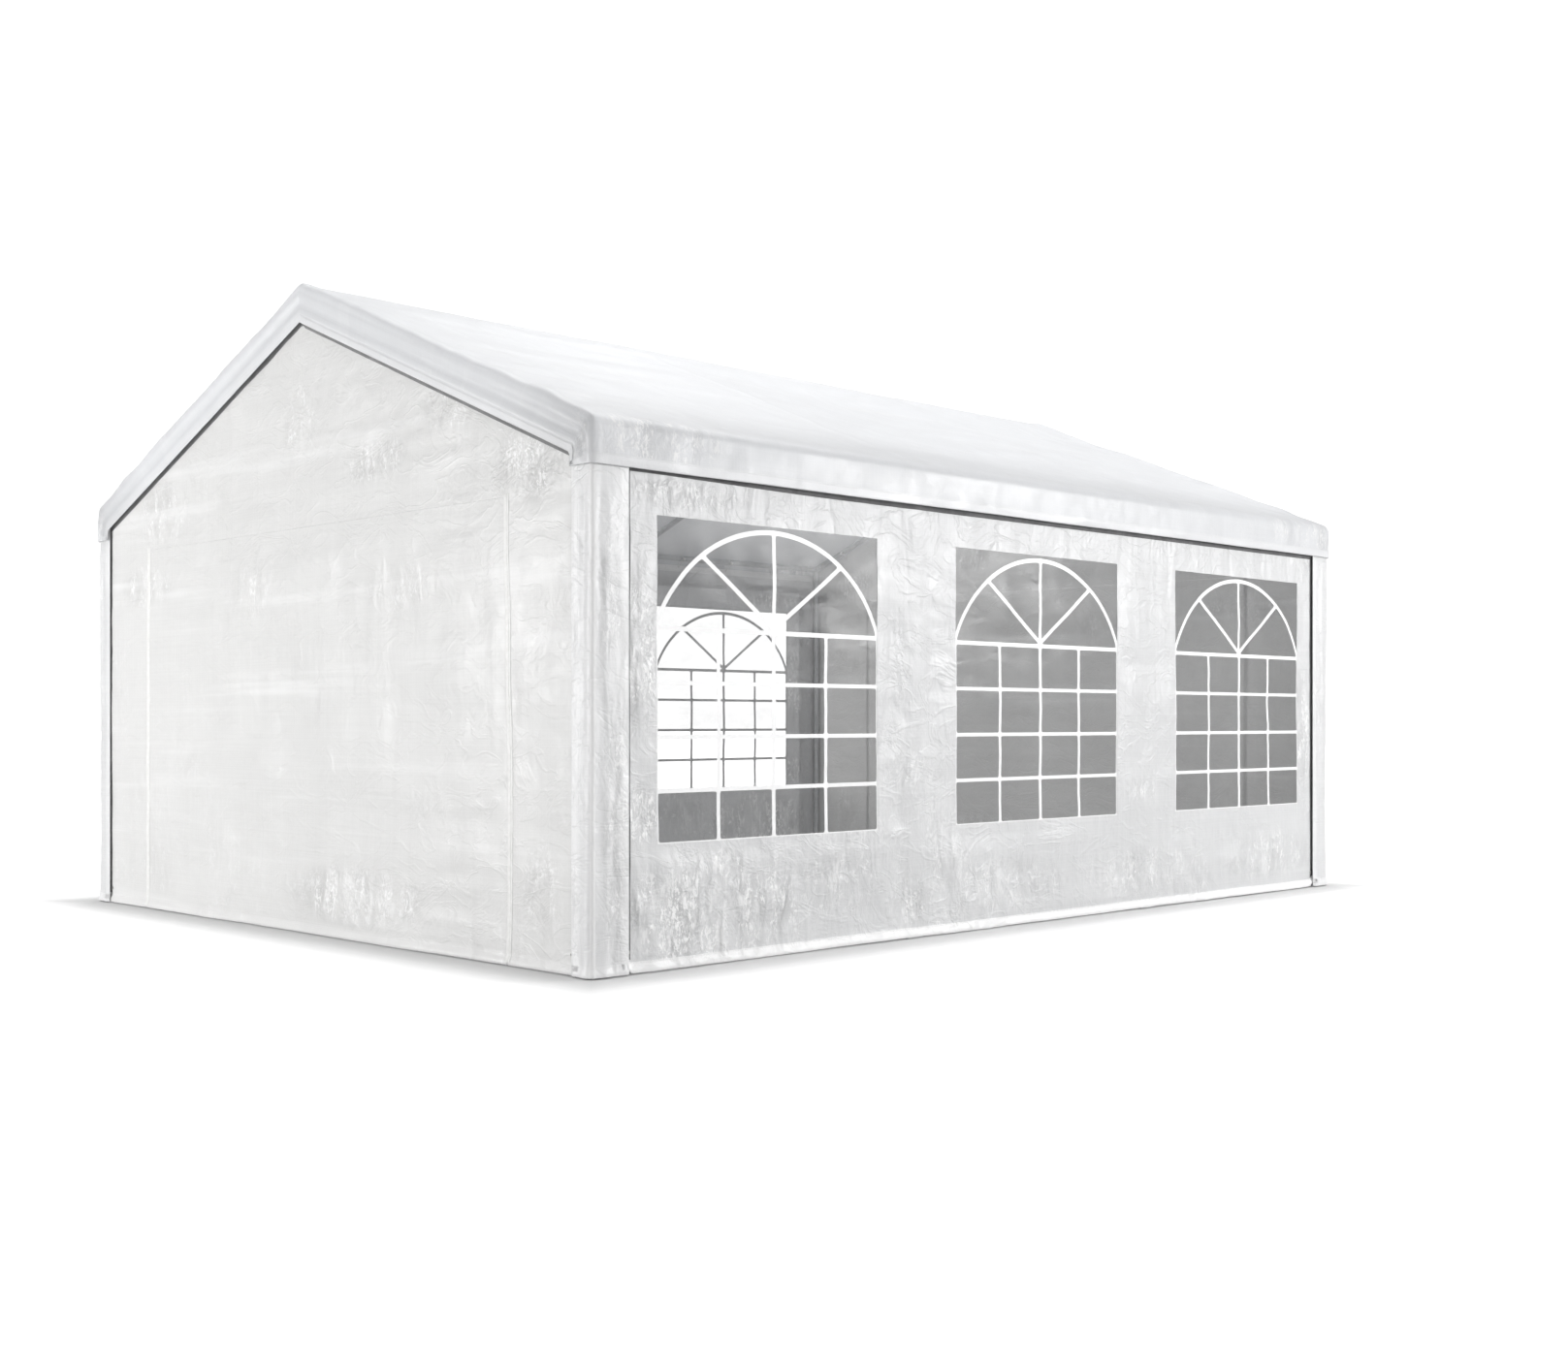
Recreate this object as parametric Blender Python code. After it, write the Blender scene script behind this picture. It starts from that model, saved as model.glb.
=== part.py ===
"""Marquee tent, 4 x 6 m: a plug-together frame of round steel poles under a one-piece
woven polyethylene roof cover, with hung side walls, zipped gable ends and film windows.

Frame of the model: metres, +Z up, origin on the ground at the middle of the plan.
+X runs along the ridge (6 m), +Y across the gable (4 m). The front wall is at -Y.
"""

import math

import bmesh
import bpy
from mathutils import Matrix, Vector

# ---------------------------------------------------------------- dimensions (metres)
LENGTH = 6.000            # outside of the roof cover, along the ridge
WIDTH = 4.000             # outside of the roof cover, across the gable
RIDGE_TOP = 3.005         # top of the cover on the ridge
EAVE_EDGE = 2.145         # top of the cover where the slope turns down into the valance
VALANCE_BOTTOM = 1.961    # lower edge of the valance on the long sides
BORDER_APEX = 2.827       # lower edge of the gable border, under the ridge
BORDER_FOOT = 2.016       # lower edge of the gable border, beside the corner covers

SHEET = 0.003             # thickness used for the woven sheets
FILM = 0.001              # thickness used for the window film

FRAME_X = (-2.951, -0.984, 0.984, 2.951)   # the four portal frames
POST_Y = 1.951            # centreline of the posts and eave rails
EAVE_Z = 2.1378           # centre of the eave joints
RIDGE_Z = 2.9767          # centre of the ridge joints
POLE_R = 0.019            # 38 mm poles
SLEEVE_R = 0.021          # 42 mm joint sleeves
RAIL_SLEEVE_R = 0.0215    # the sleeve along the rails, which the others are welded to
RAIL_SLEEVE_STUB = 0.0225 # how far it runs past the centre at the two end frames
SOCKET_R = 0.0194         # bore that a pole slides into
SLEEVE_LEN = 0.125        # from a joint's centre to the mouth of its sleeve
SOCKET_DEPTH = 0.075      # how far a pole goes into its sleeve
SEAT_GAP = 0.0006         # pole end to the bottom of its socket
SIDES = 16

PLATE = 0.110             # square foot plates
PLATE_T = 0.004
PLATE_IN = 0.0335         # plate moved inward, so that the walls hang clear of it
PEG_HOLE_R = 0.006
PEG_HOLE_OFFSET = 0.040

CORNER_ALONG_X = 0.200    # corner cover, width on the long side
CORNER_ALONG_Y = 0.130    # corner cover, width on the gable
CORNER_INSET = 0.008      # corner cover behind the face of the roof cover
CORNER_TOP = 2.060
WALL_INSET = 0.022        # side walls behind the face of the roof cover
WALL_BOTTOM = 0.003
LONG_WALL_TOP = 2.090
LONG_WALL_HALF = 2.970
GABLE_WALL_HALF = 1.970
GABLE_APEX = 2.955

WINDOW_X = (-1.950, 0.0, 1.950)
WINDOW_W = 1.372
WINDOW_BOTTOM = 0.500
WINDOW_TOP = 1.792
FILM_LAP = 0.015          # the film is welded behind the edge of its cut-out

DOOR_HALF = 1.475         # half the width between the two zips
DOOR_TOP = 1.880
ZIP_GAP = 0.004

SLOPE = (RIDGE_TOP - EAVE_EDGE) / (WIDTH / 2)


# ---------------------------------------------------------------- helpers
def clear_scene():
    for obj in list(bpy.data.objects):
        bpy.data.objects.remove(obj, do_unlink=True)


def make_material(name, colour, roughness, metallic=0.0, alpha=1.0):
    mat = bpy.data.materials.new(name)
    mat.use_nodes = True
    bsdf = mat.node_tree.nodes["Principled BSDF"]
    bsdf.inputs["Base Color"].default_value = (*colour, 1.0)
    bsdf.inputs["Roughness"].default_value = roughness
    bsdf.inputs["Metallic"].default_value = metallic
    bsdf.inputs["Alpha"].default_value = alpha
    return mat


def new_object(name, bm, mat=None):
    bmesh.ops.recalc_face_normals(bm, faces=bm.faces)
    mesh = bpy.data.meshes.new(name)
    bm.to_mesh(mesh)
    bm.free()
    obj = bpy.data.objects.new(name, mesh)
    bpy.context.scene.collection.objects.link(obj)
    if mat is not None:
        mesh.materials.append(mat)
    return obj


def helper(obj):
    """A cutter or a piece that a Boolean joins: not part of the model by itself."""
    obj.hide_render = True
    obj.display_type = "WIRE"
    return obj


def frame_between(start, end):
    """Matrix with its +Z along start to end and its origin at start."""
    start, end = Vector(start), Vector(end)
    z = (end - start).normalized()
    ref = Vector((0, 0, 1)) if abs(z.z) < 0.999 else Vector((1, 0, 0))
    x = (ref - z * ref.dot(z)).normalized()
    y = z.cross(x)
    m = Matrix((x, y, z)).transposed().to_4x4()
    m.translation = start
    return m, (end - start).length


def rod_bm(radius, length, sides=SIDES):
    """A round bar along +Z with its start at the origin, turned half a facet so a flat faces +X."""
    bm = bmesh.new()
    ring = [
        bm.verts.new((radius * math.cos(a), radius * math.sin(a), 0.0))
        for a in (2 * math.pi * (k + 0.5) / sides for k in range(sides))
    ]
    face = bm.faces.new(ring)
    moved = bmesh.ops.extrude_face_region(bm, geom=[face])
    verts = [g for g in moved["geom"] if isinstance(g, bmesh.types.BMVert)]
    bmesh.ops.translate(bm, verts=verts, vec=(0, 0, length))
    return bm


def rod(name, start, end, radius, mat=None, sides=SIDES):
    m, length = frame_between(start, end)
    obj = new_object(name, rod_bm(radius, length, sides), mat)
    obj.matrix_world = m
    return obj


def prism(name, outline, axis, low, high, mat=None):
    """A flat outline extruded along one axis. The outline is (y, z) for axis x, (x, z) for y, (x, y) for z."""
    bm = bmesh.new()
    place = {
        "x": lambda p, d: (d, p[0], p[1]),
        "y": lambda p, d: (p[0], d, p[1]),
        "z": lambda p, d: (p[0], p[1], d),
    }[axis]
    face = bm.faces.new([bm.verts.new(place(p, low)) for p in outline])
    moved = bmesh.ops.extrude_face_region(bm, geom=[face])
    verts = [g for g in moved["geom"] if isinstance(g, bmesh.types.BMVert)]
    step = {"x": (high - low, 0, 0), "y": (0, high - low, 0), "z": (0, 0, high - low)}[axis]
    bmesh.ops.translate(bm, verts=verts, vec=step)
    return new_object(name, bm, mat)


def rectangle(x0, x1, y0, y1):
    return [(x0, y0), (x1, y0), (x1, y1), (x0, y1)]


def boolean(obj, other, operation):
    mod = obj.modifiers.new(f"{operation.lower()}_{other.name}", "BOOLEAN")
    mod.operation = operation
    mod.solver = "EXACT"
    mod.object = helper(other)
    return mod


# ---------------------------------------------------------------- frame
def joint_from_arms(name, centre, directions, rail_low, rail_high, mat):
    """A welded joint: a sleeve along the rails with an arm for each other pole, bored to take their ends."""
    centre = Vector(centre)
    along = Vector((1, 0, 0))
    body = rod(name, centre + along * rail_low, centre + along * rail_high, RAIL_SLEEVE_R, mat)
    arms = [Vector(d).normalized() for d in directions]
    for k, d in enumerate(arms):
        boolean(body, rod(f"{name}_sleeve_{k}", centre, centre + d * SLEEVE_LEN, SLEEVE_R), "UNION")
    bored = arms + [along * math.copysign(1, reach) for reach in (rail_low, rail_high) if abs(reach) == SLEEVE_LEN]
    for k, d in enumerate(bored):
        start = centre + d * (SLEEVE_LEN - SOCKET_DEPTH)
        end = centre + d * (SLEEVE_LEN + 0.02)
        boolean(body, rod(f"{name}_socket_{k}", start, end, SOCKET_R), "DIFFERENCE")
    return body


def pole(name, start, end, mat):
    """A pole between two joint centres, cut to sit in their sockets."""
    start, end = Vector(start), Vector(end)
    d = (end - start).normalized()
    back = SLEEVE_LEN - SOCKET_DEPTH + SEAT_GAP
    return rod(name, start + d * back, end - d * back, POLE_R, mat)


def post(name, x, y, mat):
    """A post from its welded foot plate up into the eave joint."""
    bottom = 0.001
    top = EAVE_Z - (SLEEVE_LEN - SOCKET_DEPTH + SEAT_GAP)
    px = x - math.copysign(PLATE_IN, x) if abs(x) == max(FRAME_X) else x
    py = y - math.copysign(PLATE_IN, y)
    plate = prism(name, rectangle(px - PLATE / 2, px + PLATE / 2, py - PLATE / 2, py + PLATE / 2), "z", 0.0, PLATE_T, mat)
    boolean(plate, rod(f"{name}_tube", (x, y, bottom), (x, y, top), POLE_R), "UNION")
    boolean(plate, rod(f"{name}_collar", (x, y, bottom), (x, y, 0.060), SLEEVE_R), "UNION")
    diagonal = -math.copysign(1, x * y)
    for k, step in enumerate((-1, 1)):
        cx, cy = px + step * PEG_HOLE_OFFSET, py + step * diagonal * PEG_HOLE_OFFSET
        boolean(plate, rod(f"{name}_peg_hole_{k}", (cx, cy, -0.01), (cx, cy, 0.02), PEG_HOLE_R, sides=12), "DIFFERENCE")
    return plate


def build_frame(steel):
    n = len(FRAME_X)
    for i, x in enumerate(FRAME_X, start=1):
        rail_low = -SLEEVE_LEN if i > 1 else -RAIL_SLEEVE_STUB
        rail_high = SLEEVE_LEN if i < n else RAIL_SLEEVE_STUB
        ridge = Vector((x, 0.0, RIDGE_Z))
        for side, sign in (("front", -1), ("back", 1)):
            eave = Vector((x, sign * POST_Y, EAVE_Z))
            post(f"post_{side}_{i}", x, sign * POST_Y, steel)
            joint_from_arms(f"eave_joint_{side}_{i}", eave, [(0, 0, -1), ridge - eave], rail_low, rail_high, steel)
            pole(f"rafter_{side}_{i}", eave, ridge, steel)
            if i < n:
                pole(f"eave_rail_{side}_{i}", eave, (FRAME_X[i], sign * POST_Y, EAVE_Z), steel)
        slopes = [(0, s * POST_Y, EAVE_Z - RIDGE_Z) for s in (-1, 1)]
        joint_from_arms(f"ridge_joint_{i}", ridge, slopes, rail_low, rail_high, steel)
        if i < n:
            pole(f"ridge_rail_{i}", ridge, (FRAME_X[i], 0.0, RIDGE_Z), steel)


# ---------------------------------------------------------------- covers
def roof_outline(inset, bottom):
    """The section of the roof cover, moved in by inset square to each face."""
    rise = inset * math.sqrt(1 + SLOPE * SLOPE)
    half = WIDTH / 2 - inset
    eave = RIDGE_TOP - rise - SLOPE * half
    return [(-half, bottom), (-half, eave), (0.0, RIDGE_TOP - rise), (half, eave), (half, bottom)]


def build_roof(cloth):
    roof = prism("roof_cover", roof_outline(0.0, VALANCE_BOTTOM), "x", -LENGTH / 2, LENGTH / 2, cloth)
    inside = prism("roof_cover_inside", roof_outline(SHEET, VALANCE_BOTTOM - 0.2), "x", -LENGTH / 2 + SHEET, LENGTH / 2 - SHEET)
    boolean(roof, inside, "DIFFERENCE")
    half = WIDTH / 2 - CORNER_ALONG_Y
    opening = [(-half, VALANCE_BOTTOM - 0.3), (-half, BORDER_FOOT), (0.0, BORDER_APEX), (half, BORDER_FOOT), (half, VALANCE_BOTTOM - 0.3)]
    boolean(roof, prism("roof_cover_gables", opening, "x", -LENGTH, LENGTH), "DIFFERENCE")
    return roof


def build_corner_covers(cloth):
    for side, sy in (("front", -1), ("back", 1)):
        for end, sx in (("left", -1), ("right", 1)):
            xo, yo = LENGTH / 2 - CORNER_INSET, WIDTH / 2 - CORNER_INSET
            xi, yi = xo - SHEET, yo - SHEET
            xe, ye = LENGTH / 2 - CORNER_ALONG_X, WIDTH / 2 - CORNER_ALONG_Y
            outline = [(xe, yo), (xo, yo), (xo, ye), (xi, ye), (xi, yi), (xe, yi)]
            outline = [(sx * x, sy * y) for x, y in outline]
            prism(f"corner_cover_{side}_{end}", outline, "z", WALL_BOTTOM, CORNER_TOP, cloth)


def build_long_walls(cloth, film):
    for side, sign in (("front", -1), ("back", 1)):
        outer = sign * (WIDTH / 2 - WALL_INSET)
        inner = sign * (WIDTH / 2 - WALL_INSET - SHEET)
        low, high = min(outer, inner), max(outer, inner)
        wall = prism(f"{side}_wall", rectangle(-LONG_WALL_HALF, LONG_WALL_HALF, WALL_BOTTOM, LONG_WALL_TOP), "y", low, high, cloth)
        for k, cx in enumerate(WINDOW_X, start=1):
            x0, x1 = cx - WINDOW_W / 2, cx + WINDOW_W / 2
            boolean(wall, prism(f"{side}_wall_cut_out_{k}", rectangle(x0, x1, WINDOW_BOTTOM, WINDOW_TOP), "y", low - 0.05, high + 0.05), "DIFFERENCE")
            f0 = inner - sign * 0.0004
            f1 = f0 - sign * FILM
            prism(
                f"{side}_window_film_{k}",
                rectangle(x0 - FILM_LAP, x1 + FILM_LAP, WINDOW_BOTTOM - FILM_LAP, WINDOW_TOP + FILM_LAP),
                "y", min(f0, f1), max(f0, f1), film,
            )


def build_gables(cloth):
    for end, sign in (("left", -1), ("right", 1)):
        outer = sign * (LENGTH / 2 - WALL_INSET)
        inner = sign * (LENGTH / 2 - WALL_INSET - SHEET)
        low, high = min(outer, inner), max(outer, inner)
        side_top = GABLE_APEX - SLOPE * GABLE_WALL_HALF
        h = GABLE_WALL_HALF
        wall = prism(f"{end}_gable_wall", [(-h, WALL_BOTTOM), (h, WALL_BOTTOM), (h, side_top), (0.0, GABLE_APEX), (-h, side_top)], "x", low, high, cloth)
        d = DOOR_HALF + ZIP_GAP
        boolean(wall, prism(f"{end}_gable_doorway", rectangle(-d, d, -0.1, DOOR_TOP + 0.0006), "x", low - 0.05, high + 0.05), "DIFFERENCE")
        prism(f"{end}_gable_door_flap", rectangle(-DOOR_HALF, DOOR_HALF, WALL_BOTTOM, DOOR_TOP), "x", low, high, cloth)


def main():
    clear_scene()
    steel = make_material("galvanised_steel", (0.62, 0.63, 0.64), 0.38, 0.9)
    cloth = make_material("white_woven_sheet", (0.86, 0.87, 0.87), 0.45)
    film = make_material("window_film", (0.80, 0.82, 0.82), 0.08, 0.0, 0.35)
    build_frame(steel)
    build_roof(cloth)
    build_corner_covers(cloth)
    build_long_walls(cloth, film)
    build_gables(cloth)


main()
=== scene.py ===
"""Looks of the marquee tent: its covers as thin sheets with their folds, hems and zips, the window
film with its printed bars, and the finish of the steel frame. Metres, +Z up, in the model's frame."""

import math

import bmesh
import bpy
import numpy as np
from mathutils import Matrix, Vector


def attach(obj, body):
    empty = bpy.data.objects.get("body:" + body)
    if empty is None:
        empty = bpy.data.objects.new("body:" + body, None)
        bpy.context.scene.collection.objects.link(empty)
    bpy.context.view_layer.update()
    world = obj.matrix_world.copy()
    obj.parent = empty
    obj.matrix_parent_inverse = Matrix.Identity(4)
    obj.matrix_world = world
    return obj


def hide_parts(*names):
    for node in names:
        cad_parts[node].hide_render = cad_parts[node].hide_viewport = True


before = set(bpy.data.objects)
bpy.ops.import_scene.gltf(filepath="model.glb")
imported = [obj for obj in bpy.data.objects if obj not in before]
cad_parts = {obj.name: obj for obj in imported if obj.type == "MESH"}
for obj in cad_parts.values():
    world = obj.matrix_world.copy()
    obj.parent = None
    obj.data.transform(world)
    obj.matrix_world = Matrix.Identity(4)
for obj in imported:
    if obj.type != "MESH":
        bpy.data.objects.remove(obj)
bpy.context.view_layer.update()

# ---------------------------------------------------------------- sizes, as in the CAD model
HALF_L, HALF_W = 3.000, 2.000
RIDGE_TOP, EAVE_EDGE = 3.005, 2.145
VALANCE_BOTTOM = 1.961
BORDER_APEX, BORDER_FOOT = 2.827, 2.016
FRAME_X = (-2.951, -0.984, 0.984, 2.951)
POST_Y = 1.951
RIDGE_Z = 2.9767
SLOPE = (RIDGE_TOP - EAVE_EDGE) / HALF_W
EAVE_Z = RIDGE_Z - SLOPE * POST_Y
PITCH = math.atan(SLOPE)
CORNER_X, CORNER_Y, CORNER_TOP = 0.200, 0.130, 2.060
CORNER_FACE = 0.0095        # middle of the corner cover's sheet behind the outer face
WALL_FACE = 0.0235          # middle of the wall sheets behind the outer face
WALL_BOTTOM = 0.003
LONG_TOP, LONG_HALF = 2.090, 2.970
GABLE_APEX, GABLE_HALF = 2.955, 1.970
WINDOW_X = (-1.950, 0.0, 1.950)
WINDOW_W, WINDOW_LOW, WINDOW_HIGH, FILM_LAP = 1.372, 0.500, 1.792, 0.015
DOOR_HALF, DOOR_TOP = 1.475, 1.880
CORNER_TURN = 0.030
HEM = 0.042                 # width of the sheets' hems
CORNER_RIDGE = CORNER_X - CORNER_FACE - CORNER_TURN + CORNER_TURN * math.pi / 4


# ---------------------------------------------------------------- smooth noise for folds
def noise(u, v, seed):
    """Gradient noise, about -1 to 1, with one cell per unit of u and v."""
    rng = np.random.default_rng(seed)
    turn = rng.random((128, 128)) * 2 * math.pi
    gx, gy = np.cos(turn), np.sin(turn)
    iu, iv = np.floor(u).astype(int), np.floor(v).astype(int)
    fu, fv = u - iu, v - iv
    su, sv = (f * f * f * (f * (f * 6 - 15) + 10) for f in (fu, fv))

    def corner(a, b):
        i, j = (iu + a) & 127, (iv + b) & 127
        return gx[i, j] * (fu - a) + gy[i, j] * (fv - b)

    low = corner(0, 0) * (1 - su) + corner(1, 0) * su
    high = corner(0, 1) * (1 - su) + corner(1, 1) * su
    return 1.5 * (low * (1 - sv) + high * sv)


def fbm(u, v, seed, octaves=3, gain=0.5):
    total, size, scale = np.zeros_like(u), 1.0, 1.0
    for k in range(octaves):
        total += size * noise(u * scale + 17.3 * k, v * scale - 9.1 * k, seed + k)
        size, scale = size * gain, scale * 2.03
    return total


def creases(u, v, seed, octaves=3, gain=0.55):
    """Sharp ridges with flat facets between them, as in sheet that has been folded up and crushed."""
    total, size, scale, turn = np.zeros_like(u), 1.0, 1.0, 0.4
    for k in range(octaves):
        c, s = math.cos(turn), math.sin(turn)
        a, b = (c * u - s * v) * scale, (s * u + c * v) * scale
        warp = 0.35 * noise(a * 0.7, b * 0.7, seed + 50 + k)
        total += size * (0.33 - np.abs(noise(a + warp, b - warp, seed + k)))
        size, scale, turn = size * gain, scale * 1.9, turn + 1.1
    return total


def smooth(x, low, high):
    t = np.clip((x - low) / (high - low), 0.0, 1.0)
    return t * t * (3 - 2 * t)


def bell(x, centre, width):
    return np.exp(-(((x - centre) / width) ** 2))


def pack_folds(u, v, seed, pitch_u, pitch_v, height, ends_u, ends_v):
    """The soft lines that stay where the sheet was folded for its bag, about on a grid."""
    rng = np.random.default_rng(seed)
    total = np.zeros_like(u)
    for along, across, pitch, (low, high) in ((u, v, pitch_v, ends_v), (v, u, pitch_u, ends_u)):
        n = max(1, int((high - low) / pitch))
        for k in range(1, n + 1):
            place = low + (high - low) * (k + rng.uniform(-0.12, 0.12)) / (n + 1)
            side = rng.choice((-1.0, 1.0))
            wander = 0.012 * noise(along * 0.8 + k, along * 0 + k * 3.7, seed + 7)
            fade = 0.55 + 0.45 * noise(along * 0.9 + 5 * k, along * 0 + 1.3, seed + 11)
            total += side * fade * height * np.exp(-np.abs(across - place - wander) / 0.018)
    return total


# ---------------------------------------------------------------- meshes
def lines(breaks, step):
    """Grid lines through all the breaks, at most one step apart."""
    out = [breaks[0]]
    for a, b in zip(breaks, breaks[1:]):
        n = max(1, math.ceil((b - a) / step - 1e-6))
        out += [a + (b - a) * (k + 1) / n for k in range(n)]
    return np.array(out)


NEAR = (0.0, 0.003, 0.009, 0.016, 0.024, 0.033, 0.042)


def edged(low, high, inner, step):
    """Grid lines from low to high that close up near both ends, where the sheet is hemmed."""
    return lines(sorted({low + d for d in NEAR} | {high - d for d in NEAR} | set(inner)), step)


class Sheet:
    """A grid of points on one layer of sheet, with its flat coordinates and the distance to its edge."""

    def __init__(self, points, u, v, edge, keep=None):
        self.p, self.u, self.v, self.e = points, u, v, edge
        self.keep = np.ones((points.shape[0] - 1, points.shape[1] - 1), bool) if keep is None else keep

    def turned(self):
        return Sheet(self.p.transpose(1, 0, 2), self.u.T, self.v.T, self.e.T, self.keep.T)

    def flipped(self):
        return Sheet(self.p[::-1], self.u[::-1], self.v[::-1], self.e[::-1], self.keep[::-1])

    def normals(self):
        du = np.gradient(self.p, axis=1)
        dv = np.gradient(self.p, axis=0)
        n = np.cross(du, dv)
        return n / np.maximum(np.linalg.norm(n, axis=2, keepdims=True), 1e-12)

    def hemmed(self, side, inward, rows=4, gap=0.0022):
        """Turns the sheet's edge back behind it. inward is 1 or -1: the side of the grid that is behind."""
        s = self
        if side in ("left", "right"):
            return s.turned().hemmed("bottom" if side == "left" else "top", -inward, rows, gap).turned()
        if side == "top":
            return s.flipped().hemmed("bottom", -inward, rows, gap).flipped()
        n = s.normals()[: rows + 1] * inward
        out = s.p[0] - s.p[1]
        out /= np.maximum(np.linalg.norm(out, axis=1, keepdims=True), 1e-12)
        flap = [s.p[k] + gap * n[k] for k in range(rows, 0, -1)]
        flap.append(s.p[0] + 0.5 * gap * n[0] + 0.45 * gap * out)
        back = [2 * s.v[0] - s.v[k] for k in range(rows, 0, -1)] + [s.v[0] * 1.0]
        back_u = [2 * s.u[0] - s.u[k] for k in range(rows, 0, -1)] + [s.u[0] * 1.0]
        edge = [s.e[k] for k in range(rows, 0, -1)] + [s.e[0] * 1.0]
        keep = np.repeat(s.keep[:1], rows + 1, axis=0)
        return Sheet(
            np.concatenate([np.array(flap), s.p]),
            np.concatenate([np.array(back_u), s.u]),
            np.concatenate([np.array(back), s.v]),
            np.concatenate([np.array(edge), s.e]),
            np.concatenate([keep, s.keep]),
        )

    def area(self):
        a = np.linalg.norm(np.cross(self.p[1:, 1:] - self.p[:-1, :-1], self.p[1:, :-1] - self.p[:-1, 1:]), axis=2) / 2
        return float(a[self.keep].sum())


def build(name, points, faces, material, uv=None, edge=None):
    """A smooth mesh object from arrays, with only the points that its faces use."""
    used, back = np.unique(faces, return_inverse=True)
    faces = back.reshape(faces.shape)
    points = points.reshape(-1, 3)[used]
    mesh = bpy.data.meshes.new(name)
    mesh.from_pydata(points.tolist(), [], faces.tolist())
    if uv is not None:
        layer = mesh.uv_layers.new(name="sheet")
        flat = uv.reshape(-1, 2)[used][faces.ravel()]
        layer.data.foreach_set("uv", flat.astype(np.float32).ravel())
    if edge is not None:
        mesh.attributes.new("edge", "FLOAT", "POINT").data.foreach_set("value", edge.ravel()[used].astype(np.float32))
    mesh.shade_smooth()
    mesh.materials.append(material)
    mesh.update()
    obj = bpy.data.objects.new(name, mesh)
    bpy.context.scene.collection.objects.link(obj)
    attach(obj, "root")
    return obj


def sheet_object(name, s, material, turn=False, mirror=False, out_first=True):
    """The object of a Sheet. turn puts it on the opposite side of the tent; mirror swaps left and right."""
    r, c = s.p.shape[:2]
    idx = np.arange(r * c).reshape(r, c)
    quads = np.stack([idx[:-1, :-1], idx[:-1, 1:], idx[1:, 1:], idx[1:, :-1]], -1)[s.keep]
    p = s.p.copy()
    if turn:
        p[..., :2] *= -1
    if mirror:
        p[..., 0] *= -1
        quads = quads[:, ::-1]
    if not out_first:
        quads = quads[:, ::-1]
    return build(name, p, quads, material, np.stack([s.u, s.v], -1), np.clip(s.e, 0, 0.2))


# ---------------------------------------------------------------- materials
class Nodes:
    """A short way to write a node tree."""

    def __init__(self, tree):
        self.tree = tree

    def add(self, kind, inputs=(), **settings):
        node = self.tree.nodes.new(kind)
        for key, value in settings.items():
            setattr(node, key, value)
        for key, value in dict(inputs).items():
            socket = node.inputs[key]
            if isinstance(value, bpy.types.NodeSocket):
                self.tree.links.new(value, socket)
            else:
                socket.default_value = value
        return node

    def math(self, operation, a, b=0.0, c=0.0):
        return self.add("ShaderNodeMath", {0: a, 1: b, 2: c}, operation=operation).outputs[0]

    def ramp(self, value, low, high, to_low=0.0, to_high=1.0):
        return self.add(
            "ShaderNodeMapRange", {0: value, 1: low, 2: high, 3: to_low, 4: to_high}, interpolation_type="SMOOTHSTEP"
        ).outputs[0]

    def spread(self, value, low, high):
        """A noise value, mostly 0.3 to 0.7, as a straight line from low to high."""
        gain = (high - low) / 0.4
        return self.math("MULTIPLY_ADD", value, gain, low - 0.3 * gain)

    def noise(self, vector, scale, detail=2.0, roughness=0.5, distortion=0.0):
        return self.add(
            "ShaderNodeTexNoise",
            {"Vector": vector, "Scale": scale, "Detail": detail, "Roughness": roughness, "Distortion": distortion},
        ).outputs[0]

    def stretched(self, vector, scale):
        return self.add("ShaderNodeMapping", {"Vector": vector, "Scale": scale}).outputs[0]

    def mix(self, factor, a, b):
        node = self.tree.nodes.new("ShaderNodeMix")
        node.data_type = "RGBA"
        for socket, value in ((node.inputs[0], factor), (node.inputs[6], a), (node.inputs[7], b)):
            if isinstance(value, bpy.types.NodeSocket):
                self.tree.links.new(value, socket)
            else:
                socket.default_value = value
        return node.outputs[2]


def new_material(name):
    mat = bpy.data.materials.new(name)
    mat.use_nodes = True
    mat.node_tree.nodes.clear()
    n = Nodes(mat.node_tree)
    out = n.add("ShaderNodeOutputMaterial")
    return mat, n, out


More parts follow.
